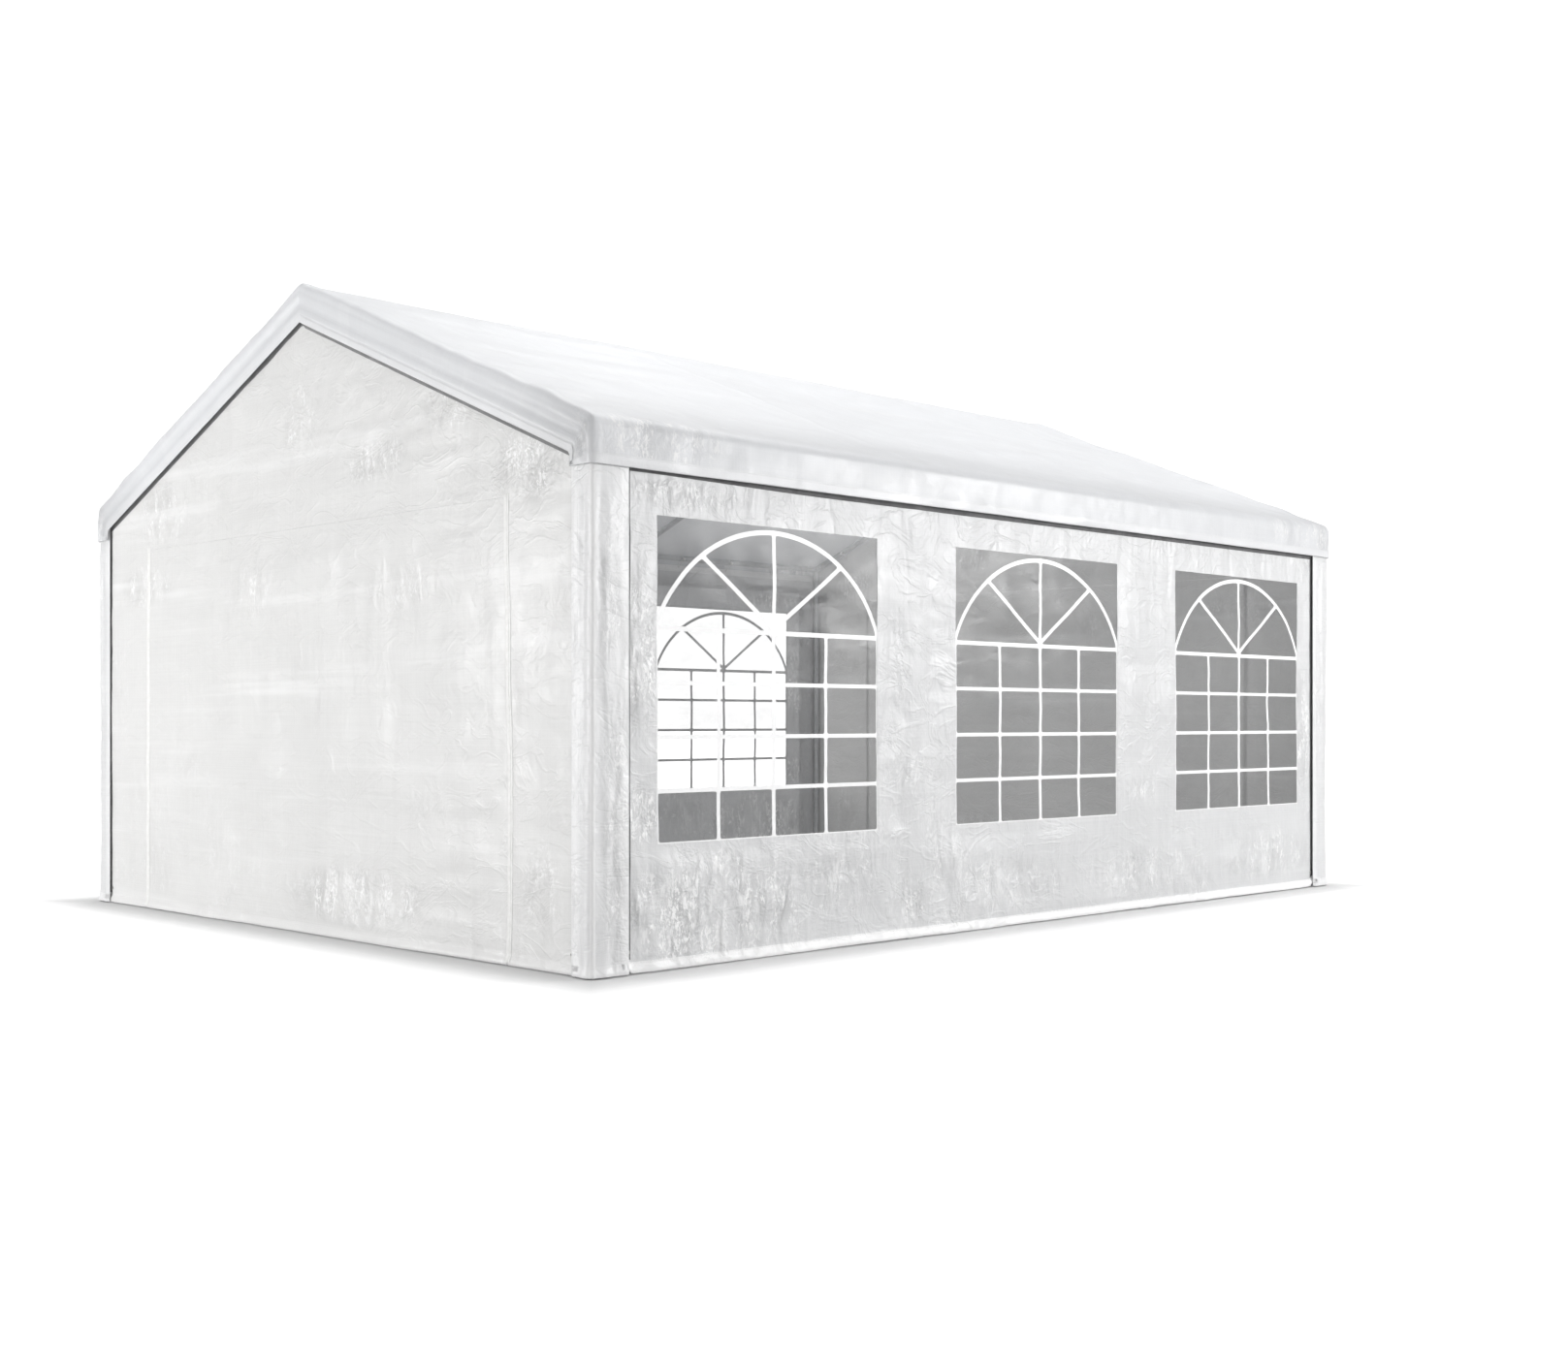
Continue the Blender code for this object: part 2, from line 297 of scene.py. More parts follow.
def woven_sheet(name, colour, dark, through=0.09, crinkle=1.0, rough=(0.32, 0.45), crushed_at=(), ridge_at=None, relief=1.0, flecks=1.0,
                valance=None, border=0.0, worn=0.55, bands=0.25, hems=0.9):
    """Coated woven tape: a fine tape weave, folded creases, streaks of thicker tape, and a soft gloss.
    crushed_at are places on the sheet, as (u, v, width, height, strength), where it has been crushed most;
    ridge_at is the u of a welded ridge that runs up the sheet, whose colour is also lightened there as a painted
    highlight; valance darkens it from one |v| to another by a share, as painted shade towards the eaves and valances,
    and border does the same for the borders on the gables, as painted shade; worn is how much of it has been crushed
    elsewhere."""
    mat, n, out = new_material(name)
    uv = n.add("ShaderNodeUVMap", uv_map="sheet").outputs[0]
    parts = n.add("ShaderNodeSeparateXYZ", {0: uv}).outputs
    edge = n.add("ShaderNodeAttribute", attribute_name="edge").outputs["Fac"]
    # Tape weave, 3.2 mm a tape, over and under.
    turn = 2 * math.pi / 0.0064
    warp, weft = (n.math("SINE", n.math("MULTIPLY", parts[k], turn)) for k in (0, 1))
    weave = n.math("MULTIPLY", n.math("MULTIPLY", warp, weft), 0.00007)
    # Tapes differ a little in thickness, which shows as fine lines across and up the sheet.
    across = n.noise(n.stretched(uv, (1.2, 170.0, 1.0)), 1.0, 2.0, 0.6)
    upright = n.noise(n.stretched(uv, (170.0, 1.2, 1.0)), 1.0, 2.0, 0.6)
    tapes = n.math("ADD", across, upright)
    cloud = n.noise(uv, 2.3, 4.0, 0.55)
    tone = n.math("ADD", n.ramp(tapes, 0.75, 1.25, 0.0, 0.6), n.ramp(cloud, 0.35, 0.7, 0.0, 0.4))
    # Where it was crushed: patches of the sheet, and the places given.
    places = n.ramp(n.noise(uv, 1.15, 3.0, 0.6, 0.4), 0.50, 0.72, 0.0, worn)
    for pu, pv, wide, high, strength in crushed_at:
        du = n.math("DIVIDE", n.math("SUBTRACT", parts[0], pu), wide)
        dv = n.math("DIVIDE", n.math("SUBTRACT", parts[1], pv), high)
        far = n.math("ADD", n.math("MULTIPLY", du, du), n.math("MULTIPLY", dv, dv))
        places = n.math("MAXIMUM", places, n.ramp(far, 0.0, 1.0, strength, 0.0))
    # Creases whiten the tapes, and their lit facets are painted in as highlights too: short curved lines, and where it
    # was crushed, clusters of small flecks.
    slant = n.add("ShaderNodeMapping", {"Vector": uv, "Rotation": (0.0, 0.0, 0.35), "Scale": (1.0, 0.5, 1.0)}).outputs[0]
    long_crease = n.math("ABSOLUTE", n.math("SUBTRACT", n.noise(n.stretched(uv, (0.8, 1.25, 1.0)), 5.0, 3.0, 0.55, 1.2), 0.5))
    ridge = n.math("ABSOLUTE", n.math("SUBTRACT", n.noise(uv, 13.0, 2.0, 0.6, 0.8), 0.5))
    small = n.noise(slant, 44.0, 2.0, 0.65, 0.5)
    tiny = n.noise(slant, 105.0, 2.0, 0.65, 0.4)
    fine = n.noise(uv, 150.0, 2.0, 0.6)
    leaning = n.add("ShaderNodeMapping", {"Vector": uv, "Rotation": (0.0, 0.0, -0.45), "Scale": (1.0, 0.34, 1.0)}).outputs[0]
    stroke = n.noise(leaning, 62.0, 3.0, 0.68, 0.6)
    line = n.math("MULTIPLY", n.ramp(long_crease, 0.0, 0.014, 1.0, 0.0), n.ramp(n.noise(uv, 6.0, 2.0, 0.5), 0.56, 0.66))
    group = n.ramp(n.noise(leaning, 12.0, 3.0, 0.62, 0.6), 0.43, 0.60)
    fleck = n.math("MAXIMUM", n.ramp(small, 0.55, 0.63), n.math("MULTIPLY", n.ramp(tiny, 0.55, 0.64), 0.8))
    fleck = n.math("MAXIMUM", fleck, n.ramp(stroke, 0.55, 0.62))
    fleck = n.math("MULTIPLY", n.math("MULTIPLY", fleck, group), flecks)
    bloom = n.math("MULTIPLY", n.ramp(n.noise(leaning, 15.0, 4.0, 0.66), 0.50, 0.70), 0.5 * flecks)
    marks = n.math("MULTIPLY", n.math("MAXIMUM", fleck, bloom), places)
    marks = n.math("MAXIMUM", marks, n.math("MULTIPLY", line, n.math("ADD", n.math("MULTIPLY", places, 0.5), 0.30 * crinkle)))
    # Long soft bands run across it, where it was folded lengthwise: lightened partly as whitened fold lines and partly
    # as painted light on the folds.
    level = n.add("ShaderNodeMapping", {"Vector": uv, "Rotation": (0.0, 0.0, 0.06), "Scale": (0.40, 6.0, 1.0)}).outputs[0]
    band = n.ramp(n.noise(level, 1.0, 4.0, 0.60, 0.3), 0.52, 0.72, 0.0, bands)
    marks = n.math("MAXIMUM", marks, band)
    # A double layer at the hem lets less light through and looks whiter.
    hem = n.ramp(edge, HEM, HEM + 0.002, 1.0, 0.0)
    stitch = n.math("MULTIPLY", n.ramp(n.math("ABSOLUTE", n.math("SUBTRACT", edge, HEM - 0.005)), 0.0004, 0.0011, 1.0, 0.0),
                    n.ramp(n.math("SINE", n.math("MULTIPLY", n.math("ADD", parts[0], parts[1]), 2 * math.pi / 0.005)), -0.2, 0.1))
    colour_out = n.mix(tone, dark, colour)
    # Painted shade: blotches in the crushed patches are darkened, standing in for the shade of their folds.
    dull = n.ramp(n.noise(leaning, 4.2, 3.0, 0.62, 0.5), 0.40, 0.58, 0.17, 0.0)
    colour_out = n.mix(n.math("MULTIPLY", dull, places), colour_out, (0.0, 0.0, 0.0, 1.0))
    colour_out = n.mix(n.math("MULTIPLY", hem, hems), colour_out, (0.975, 0.975, 0.975, 1.0))
    # The crease and fold marks are mixed in as white: partly the tapes' real whitening, partly painted highlight.
    colour_out = n.mix(n.math("MINIMUM", marks, 1.0), colour_out, (1.0, 1.0, 1.0, 1.0))
    # Painted shade: the sheet is darkened from one |v| to another, towards the eaves and valances.
    if valance is not None:
        low, high, share = valance
        colour_out = n.mix(n.ramp(n.math("ABSOLUTE", parts[1]), low, high, 0.0, share), colour_out, (0.0, 0.0, 0.0, 1.0))
    # Painted shade: the borders on the gables are darkened.
    if border:
        colour_out = n.mix(n.ramp(n.math("ABSOLUTE", parts[0]), HALF_L - 0.005, HALF_L + 0.015, 0.0, border), colour_out, (0.0, 0.0, 0.0, 1.0))
    # Painted highlight: the colour is lightened along the welded ridge at the corner, where it would catch the light.
    if ridge_at is not None:
        near = n.math("ABSOLUTE", n.math("SUBTRACT", parts[0], ridge_at))
        colour_out = n.mix(n.ramp(near, 0.009, 0.014, 0.9, 0.0), colour_out, (0.98, 0.98, 0.98, 1.0))
    colour_out = n.mix(n.math("MULTIPLY", stitch, 0.35), colour_out, (0.66, 0.67, 0.68, 1.0))
    # The same creases as relief: crushed facets in the patches, over a light crinkle everywhere.
    patch = n.math("ADD", n.math("MULTIPLY", places, 1.0), 0.20)
    crushed = n.math("ADD", n.math("MULTIPLY_ADD", ridge, -0.0120, 0.0011), n.math("MULTIPLY_ADD", small, 0.0032, -0.0016))
    crushed = n.math("ADD", crushed, n.math("MULTIPLY_ADD", n.noise(leaning, 8.0, 2.0, 0.5, 0.5), 0.055 * relief, -0.0275 * relief))
    crushed = n.math("ADD", crushed, n.math("MULTIPLY_ADD", tiny, 0.0011, -0.00055))
    crushed = n.math("ADD", crushed, n.math("MULTIPLY", fine, 0.0002))
    crushed = n.math("MULTIPLY", crushed, n.math("MULTIPLY", patch, crinkle))
    crushed = n.math("ADD", crushed, n.math("MULTIPLY", n.ramp(long_crease, 0.0, 0.06, 1.0, 0.0), 0.0011 * relief))
    height = n.math("ADD", n.math("ADD", crushed, weave), n.math("MULTIPLY", stitch, -0.0006))
    bump = n.add("ShaderNodeBump", {"Strength": 1.0, "Distance": 1.0, "Height": height}).outputs[0]
    rough_out = n.math("MAXIMUM", n.spread(n.noise(uv, 7.0, 3.0, 0.6), *rough), 0.285)
    front = n.add(
        "ShaderNodeBsdfPrincipled",
        {"Base Color": colour_out, "Roughness": rough_out, "IOR": 1.5, "Normal": bump},
    ).outputs[0]
    if through:
        behind = n.add("ShaderNodeBsdfTranslucent", {"Color": colour_out, "Normal": bump}).outputs[0]
        share = n.math("MULTIPLY", n.math("SUBTRACT", 1.0, n.math("MULTIPLY", hem, 0.45)), through)
        front = n.add("ShaderNodeMixShader", {0: share, 1: front, 2: behind}).outputs[0]
    n.tree.links.new(front, out.inputs[0])
    return mat


def film_material():
    """Clear film with a faint haze, soft ripples and a few scuffs."""
    mat, n, out = new_material("window_film")
    uv = n.add("ShaderNodeUVMap", uv_map="sheet").outputs[0]
    ripple = n.noise(n.stretched(uv, (1.0, 2.6, 1.0)), 3.5, 2.0, 0.5, 0.6)
    haze = n.ramp(n.noise(n.stretched(uv, (1.0, 1.9, 1.0)), 4.0, 4.0, 0.62), 0.38, 0.72, 0.09, 0.15)
    scuff = n.ramp(n.noise(n.stretched(uv, (9.0, 1.5, 1.0)), 6.0, 3.0, 0.7, 0.8), 0.66, 0.74, 0.0, 0.05)
    slant = n.add("ShaderNodeLayerWeight", {"Blend": 0.5}).outputs["Facing"]
    gloss = n.math("MULTIPLY", n.math("POWER", slant, 4.0), 0.5)
    alpha = n.math("ADD", n.math("ADD", haze, scuff), gloss)
    bump = n.add("ShaderNodeBump", {"Strength": 1.0, "Distance": 1.0, "Height": n.math("MULTIPLY", ripple, 0.003)}).outputs[0]
    shader = n.add(
        "ShaderNodeBsdfPrincipled",
        {
            "Base Color": (0.36, 0.365, 0.37, 1.0),
            "Roughness": n.spread(n.noise(uv, 9.0, 3.0, 0.6), 0.14, 0.26),
            "IOR": 1.7,
            "Alpha": alpha,
            "Normal": bump,
        },
    ).outputs[0]
    n.tree.links.new(shader, out.inputs[0])
    return mat


def print_material():
    """White printed bars: flat, a little uneven where the ink is thinner."""
    mat, n, out = new_material("printed_bars")
    at = n.add("ShaderNodeTexCoord").outputs["Object"]
    tone = n.ramp(n.noise(at, 60.0, 3.0, 0.6), 0.3, 0.7)
    shader = n.add(
        "ShaderNodeBsdfPrincipled",
        {
            "Base Color": n.mix(tone, (0.93, 0.93, 0.93, 1.0), (0.97, 0.97, 0.97, 1.0)),
            "Roughness": n.spread(n.noise(at, 25.0, 2.0), 0.35, 0.5),
        },
    ).outputs[0]
    n.tree.links.new(shader, out.inputs[0])
    return mat


def steel_material(name, base, rough, spangle=1.0):
    """Hot-dip zinc: faint crystals, cloudy dull patches, and brushed marks from handling."""
    mat, n, out = new_material(name)
    at = n.add("ShaderNodeTexCoord").outputs["Object"]
    cells = n.add("ShaderNodeTexVoronoi", {"Vector": at, "Scale": 90.0}).outputs["Color"]
    cell = n.add("ShaderNodeSeparateColor", {0: cells}).outputs[0]
    cloud = n.noise(at, 9.0, 4.0, 0.6)
    scuff = n.ramp(n.noise(n.stretched(at, (40.0, 40.0, 6.0)), 4.0, 3.0, 0.7), 0.58, 0.72)
    tone = n.math("ADD", n.math("MULTIPLY", cell, 0.35 * spangle), n.ramp(cloud, 0.3, 0.7, 0.0, 0.6))
    dark = (base[0] * 0.72, base[1] * 0.72, base[2] * 0.73, 1.0)
    colour = n.mix(tone, dark, (*base, 1.0))
    colour = n.mix(n.math("MULTIPLY", scuff, 0.35), colour, (base[0] * 1.2, base[1] * 1.2, base[2] * 1.2, 1.0))
    roughness = n.math("ADD", n.spread(cloud, rough - 0.08, rough + 0.10), n.math("MULTIPLY", cell, 0.08))
    height = n.math("ADD", n.math("MULTIPLY", cell, 0.00003), n.math("MULTIPLY", cloud, 0.0004))
    bump = n.add("ShaderNodeBump", {"Strength": 0.6, "Distance": 1.0, "Height": height}).outputs[0]
    shader = n.add(
        "ShaderNodeBsdfPrincipled",
        {"Base Color": colour, "Metallic": 0.6, "Roughness": roughness, "Normal": bump},
    ).outputs[0]
    n.tree.links.new(shader, out.inputs[0])
    return mat


def plastic_material(name, base, rough):
    mat, n, out = new_material(name)
    at = n.add("ShaderNodeTexCoord").outputs["Object"]
    cloud = n.noise(at, 40.0, 3.0, 0.6)
    colour = n.mix(n.ramp(cloud, 0.3, 0.7), (base[0] * 0.92, base[1] * 0.92, base[2] * 0.91, 1.0), (*base, 1.0))
    bump = n.add("ShaderNodeBump", {"Strength": 0.4, "Distance": 1.0, "Height": n.math("MULTIPLY", cloud, 0.0006)}).outputs[0]
    shader = n.add(
        "ShaderNodeBsdfPrincipled",
        {"Base Color": colour, "Roughness": n.spread(cloud, rough - 0.06, rough + 0.08), "Normal": bump},
    ).outputs[0]
    n.tree.links.new(shader, out.inputs[0])
    return mat


def painted_shadow_material(name, low, high):
    """Painted shadow: a dark, finely grained strip in the gap under the cover's edges, where the shade falls."""
    mat, n, out = new_material(name)
    at = n.add("ShaderNodeTexCoord").outputs["Object"]
    pores = n.noise(at, 420.0, 2.0, 0.6)
    tone = n.ramp(n.noise(at, 14.0, 3.0, 0.6), 0.3, 0.7)
    bump = n.add("ShaderNodeBump", {"Strength": 1.0, "Distance": 1.0, "Height": n.math("MULTIPLY", pores, 0.0008)}).outputs[0]
    shader = n.add(
        "ShaderNodeBsdfPrincipled",
        {"Base Color": n.mix(tone, (low, low, low + 0.003, 1.0), (high, high, high + 0.003, 1.0)), "Roughness": n.spread(pores, 0.80, 0.92), "Normal": bump},
    ).outputs[0]
    n.tree.links.new(shader, out.inputs[0])
    return mat


# The roof, wall, gable and corner sheets are one coated cloth, given lighter and darker colours by how much light each
# part gets: painted light and shade. The roof's colour is also bluer, as painted sky light on its upward faces.
ROOF = woven_sheet("roof_sheet", (0.865, 0.875, 0.895, 1.0), (0.825, 0.835, 0.855, 1.0), through=0.12, crinkle=0.35, relief=0.0, flecks=1.1, valance=(1.55, 2.15, 0.155), border=0.05, worn=0.25, bands=0.2, hems=0.25,
                   crushed_at=[(s * 2.72, t * 2.22, 0.60, 0.15, 1.0) for s in (-1, 1) for t in (-1, 1)])
WALL = woven_sheet("wall_sheet", (0.785, 0.788, 0.793, 1.0), (0.725, 0.728, 0.734, 1.0), through=0.12, crinkle=1.0, flecks=2.0, crushed_at=[
    (-2.40, 0.22, 0.55, 0.28, 1.0), (-2.25, 0.38, 0.16, 0.10, 1.0), (-1.93, 0.22, 0.14, 0.20, 0.9), (-1.55, 0.33, 0.40, 0.12, 0.6),
    (-1.05, 0.17, 0.22, 0.14, 0.8), (-2.73, 1.25, 0.12, 0.40, 0.8), (-2.73, 0.62, 0.12, 0.14, 0.9), (-2.45, 1.88, 0.40, 0.07, 0.8),
    (-0.30, 0.20, 0.60, 0.16, 0.45), (0.95, 0.20, 0.70, 0.16, 0.4), (2.30, 0.22, 0.60, 0.18, 0.5), (2.70, 0.9, 0.12, 0.5, 0.5)])
GABLE = woven_sheet("gable_sheet", (0.835, 0.833, 0.825, 1.0), (0.785, 0.783, 0.776, 1.0), through=0.10, crinkle=0.7, relief=0.7, flecks=1.3, worn=0.35,
                    bands=0.45, hems=0.15, crushed_at=[
    (1.60, 2.00, 0.28, 0.17, 1.0), (1.10, 2.33, 0.22, 0.17, 0.9), (-0.03, 2.37, 0.17, 0.22, 0.9), (0.58, 2.13, 0.28, 0.14, 0.7),
    (-1.31, 2.05, 0.32, 0.20, 0.8), (-1.49, 1.69, 0.32, 0.13, 0.8), (-0.46, 1.60, 0.28, 0.16, 0.6), (0.74, 1.56, 0.32, 0.13, 0.5),
    (1.68, 0.30, 0.16, 0.24, 0.6), (-1.35, 0.25, 0.35, 0.20, 0.3), (0.40, 0.20, 0.65, 0.16, 0.9)])
CORNER = woven_sheet("corner_sheet", (0.90, 0.902, 0.905, 1.0), (0.83, 0.833, 0.84, 1.0), through=0.12, crinkle=0.8, flecks=1.2, worn=0.8, hems=0.3, ridge_at=CORNER_RIDGE,
                     crushed_at=[(0.06, 0.55, 0.09, 0.80, 0.9), (0.09, 1.50, 0.09, 0.45, 0.7), (0.31, 1.30, 0.06, 0.60, 0.6), (0.30, 0.30, 0.06, 0.30, 0.6)])
# A darker copy of the corner sheet, used for the covers at the back left and front right corners: painted shade.
CORNER_SHADED = woven_sheet("corner_sheet_shaded", (0.83, 0.832, 0.835, 1.0), (0.765, 0.768, 0.775, 1.0), through=0.12, crinkle=0.8, flecks=1.2, worn=0.8, hems=0.3,
                         ridge_at=CORNER_RIDGE)
FILM = film_material()
PRINT = print_material()
# Painted shadow: dark strips for the gaps under the cover's edges, and a paler one for the gables.
PAINTED_SHADOW = painted_shadow_material("painted_shadow_strip", 0.125, 0.17)
PAINTED_SHADOW_PALE = painted_shadow_material("painted_shadow_strip_pale", 0.24, 0.31)
STEEL = steel_material("galvanised_tube", (0.74, 0.75, 0.76), 0.40)
BOLT = steel_material("bolt_zinc", (0.72, 0.71, 0.68), 0.38, 0.3)
ZIP = plastic_material("zip_white", (0.92, 0.92, 0.91), 0.38)
CORD = plastic_material("elastic_white", (0.84, 0.84, 0.83), 0.6)


# ---------------------------------------------------------------- roof cover
def roof_profile():
    """The cover's section from the front valance to the back one: points, unit normals out, the border's
    inner edge opposite each point, and how far each point is from the valance's lower edge."""
    round_eave, round_ridge = 0.055, 0.050
    t1 = round_eave * math.tan((math.pi / 2 - PITCH) / 2)
    t2 = round_ridge * math.tan(PITCH)
    cos, sin = math.cos(PITCH), math.sin(PITCH)
    pts, nrm, inner = [], [], []

    def part(ps, ns, a, b):
        for k, (p, m) in enumerate(zip(ps, ns)):
            f = k / max(1, len(ps) - 1)
            pts.append(p)
            nrm.append(m)
            inner.append((a[0] + (b[0] - a[0]) * f, a[1] + (b[1] - a[1]) * f))

    foot = -(HALF_W - CORNER_Y)
    z_arc = EAVE_EDGE - t1
    zs = lines([VALANCE_BOTTOM + d for d in NEAR] + [z_arc], 0.013)
    part([(-HALF_W, z) for z in zs], [(-1.0, 0.0)] * len(zs), (foot, VALANCE_BOTTOM), (foot, BORDER_FOOT - 0.012))
    arc = [math.pi - (math.pi / 2 - PITCH) * k / 7 for k in range(1, 7)]
    part(
        [(-HALF_W + round_eave * (1 + math.cos(a)), z_arc + round_eave * math.sin(a)) for a in arc],
        [(math.cos(a), math.sin(a)) for a in arc], (foot + 0.0006, BORDER_FOOT - 0.008), (foot + 0.006, BORDER_FOOT + 0.001),
    )
    start = (-HALF_W + t1 * cos, EAVE_EDGE + t1 * sin)
    end = (-t2 * cos, RIDGE_TOP - t2 * sin)
    length = math.hypot(end[0] - start[0], end[1] - start[1])
    fs = lines([0.0, length], 0.0185) / length
    part(
        [(start[0] + (end[0] - start[0]) * f, start[1] + (end[1] - start[1]) * f) for f in fs],
        [(-sin, cos)] * len(fs), (foot + 0.010, BORDER_FOOT + 0.0044), (-0.012, BORDER_APEX - 0.0052),
    )
    arc = [PITCH * (1 - k / 3) for k in (1, 2)]
    z_c = RIDGE_TOP - t2 * sin - round_ridge * cos
    part(
        [(-round_ridge * math.sin(a), z_c + round_ridge * math.cos(a)) for a in arc],
        [(-math.sin(a), math.cos(a)) for a in arc], (-0.008, BORDER_APEX - 0.003), (-0.004, BORDER_APEX - 0.0012),
    )
    pts_b = [(-y, z) for y, z in reversed(pts)]
    nrm_b = [(-y, z) for y, z in reversed(nrm)]
    inner_b = [(-y, z) for y, z in reversed(inner)]
    pts = np.array(pts + [(0.0, z_c + round_ridge)] + pts_b)
    nrm = np.array(nrm + [(0.0, 1.0)] + nrm_b)
    inner = np.array(inner + [(0.0, BORDER_APEX)] + inner_b)
    run = np.concatenate([[0.0], np.cumsum(np.linalg.norm(np.diff(pts, axis=0), axis=1))])
    return pts, nrm, inner, run


def roof_cover():
    pts, nrm, inner, run = roof_profile()
    round_end = 0.024
    border = [0.0, 0.02, 0.065, 0.13, 0.20, 0.28, 0.36, 0.45, 0.54, 0.63, 0.72, 0.81, 0.90, 0.96]
    turn = [math.pi / 2 * k / 6 for k in range(7)]
    xs = lines([-HALF_L + round_end, HALF_L - round_end], 0.0212)[1:-1]
    rows, cols = len(pts), 2 * (len(border) + len(turn)) + len(xs)
    p = np.zeros((rows, cols, 3))
    out = np.zeros((rows, cols, 3))      # unit normal out
    u = np.zeros((rows, cols))           # along the sheet, end to end
    fall = np.zeros((rows, cols))        # from the border's inner edge, on the border only
    flat_top = np.zeros((rows, cols))    # 1 on the roof and valances, 0 on the borders
    low = pts - round_end * nrm
    wide = np.linalg.norm(low - inner, axis=1)
    for end, sign in ((0, -1.0), (1, 1.0)):
        for k, t in enumerate(border):
            c = k if end == 0 else cols - 1 - k
            yz = inner + (low - inner) * t
            p[:, c, 0], p[:, c, 1:] = sign * HALF_L, yz
            out[:, c, 0] = sign
            u[:, c] = sign * (HALF_L + wide * (1 - t))
            fall[:, c] = wide * t
        for k, a in enumerate(turn):
            c = len(border) + k if end == 0 else cols - 1 - len(border) - k
            p[:, c, 0] = sign * (HALF_L - round_end * (1 - math.cos(a)))
            p[:, c, 1:] = pts - round_end * (1 - math.sin(a)) * nrm
            out[:, c, 0] = sign * math.cos(a)
            out[:, c, 1:] = math.sin(a) * nrm
            u[:, c] = sign * (HALF_L - round_end * a * 0.7)
            fall[:, c] = wide
            flat_top[:, c] = math.sin(a)
    first = len(border) + len(turn)
    for k, x in enumerate(xs):
        c = first + k
        p[:, c, 0], p[:, c, 1:] = x, pts
        out[:, c, 1:] = nrm
        u[:, c] = x
        fall[:, c] = wide
        flat_top[:, c] = 1.0
    s = np.repeat(run[:, None], cols, axis=1)
    total = run[-1]
    v = s - total / 2
    x = p[:, :, 0]
    from_hem = np.minimum(s, total - s)           # metres up from the valance's lower edge
    slope_part = smooth(from_hem, 0.21, 0.34)     # 0 on the valance, 1 on the slopes
    q = np.clip((from_hem - 0.20) / (total / 2 - 0.20), 0, 1)
    # The sheet hangs a little between the rafters and lies on them and on the rails.
    wave = np.zeros_like(x)
    for a, b in zip(FRAME_X, FRAME_X[1:]):
        inside = (x > a) & (x <= b)
        wave = np.where(inside, np.sin(np.pi * np.clip((x - a) / (b - a), 0, 1)) ** 1.3, wave)
    side = np.where(v < 0, 0.0, 40.0)
    sag = -(0.020 + 0.006 * noise(x * 0.4 + side, q * 1.2 + 3, 5)) * wave * np.sin(np.pi * q) ** 0.9
    d = flat_top * slope_part * sag
    # Long soft folds drawn tight from end to end, and slanted pulls out of the corners.
    d += flat_top * slope_part * 0.0085 * fbm(x * 0.5 + side, v * 2.4, 21, 3)
    corner = bell(np.abs(x), 2.951, 0.75) * bell(from_hem, 0.22, 0.8)
    pull = np.sin((np.abs(x) * 0.75 + from_hem * 1.0) * 21.0 + 2.0 * noise(x * 1.3 + side, v * 1.3, 31))
    d += flat_top * slope_part * 0.0034 * corner * pull
    # Along the rafters the cover is held up, and its ends stand proud over the end rafters.
    for fx in FRAME_X:
        d += flat_top * slope_part * 0.0022 * bell(x, fx, 0.035)
    d += 0.0065 * bell(np.abs(u), HALF_L - 0.03, 0.055) * smooth(q, 0.02, 0.12)
    # The valances wave where they hang free.
    hang = (1 - smooth(from_hem, 0.02, 0.20)) * flat_top
    d += hang * 0.0060 * (fbm(x * 1.7 + side, v * 0.5, 41, 3) + 0.1)
    # The border lies over the end rafter, then hangs: two soft rolls run along it.
    rim = 1 - flat_top
    roll = rim * smooth(fall, 0.0, 0.05)
    d += roll * (0.0055 * bell(fall, 0.125, 0.022) - 0.0034 * bell(fall, 0.085, 0.018) + 0.0028 * bell(fall, 0.050, 0.014))
    d += rim * 0.0022 * fbm(v * 1.7, fall * 9.0, 47, 3)
    # Creases from packing and handling.
    d += 0.0030 * creases(u * 6.0, v * 6.0, 61, 2) * (0.35 + 0.65 * smooth(noise(u * 0.7, v * 0.9, 67), -0.1, 0.5))
    d += pack_folds(u, v, 71, 0.75, 0.62, 0.0026, (-HALF_L - 0.17, HALF_L + 0.17), (-total / 2, total / 2))
    near_hem = np.minimum(from_hem, np.where(flat_top < 0.5, fall, 1.0))
    d *= 0.25 + 0.75 * smooth(near_hem, 0.0, 0.03) + 0.0
    p = p + out * d[:, :, None]
    # The valance's edge isn't quite straight.
    drop = (1 - smooth(from_hem, 0.0, 0.15)) * 0.003 * noise(u * 1.1, side, 81)
    p[:, :, 2] += drop
    edge = np.where(flat_top < 0.02, np.minimum(from_hem, fall), from_hem)
    sheet = Sheet(p, u, v, edge)
    sheet = sheet.hemmed("bottom", 1, 6).hemmed("top", 1, 6)
    sheet = sheet.hemmed("left", 1, 4).hemmed("right", 1, 4)
    obj = sheet_object("roof_sheet", sheet, ROOF)
    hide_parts("roof_cover")
    wide_flat = total + 2 * HEM
    long_flat = 2 * (HALF_L + 0.17 + 0.03)
    min(sheet.area(), wide_flat * long_flat)
    return obj


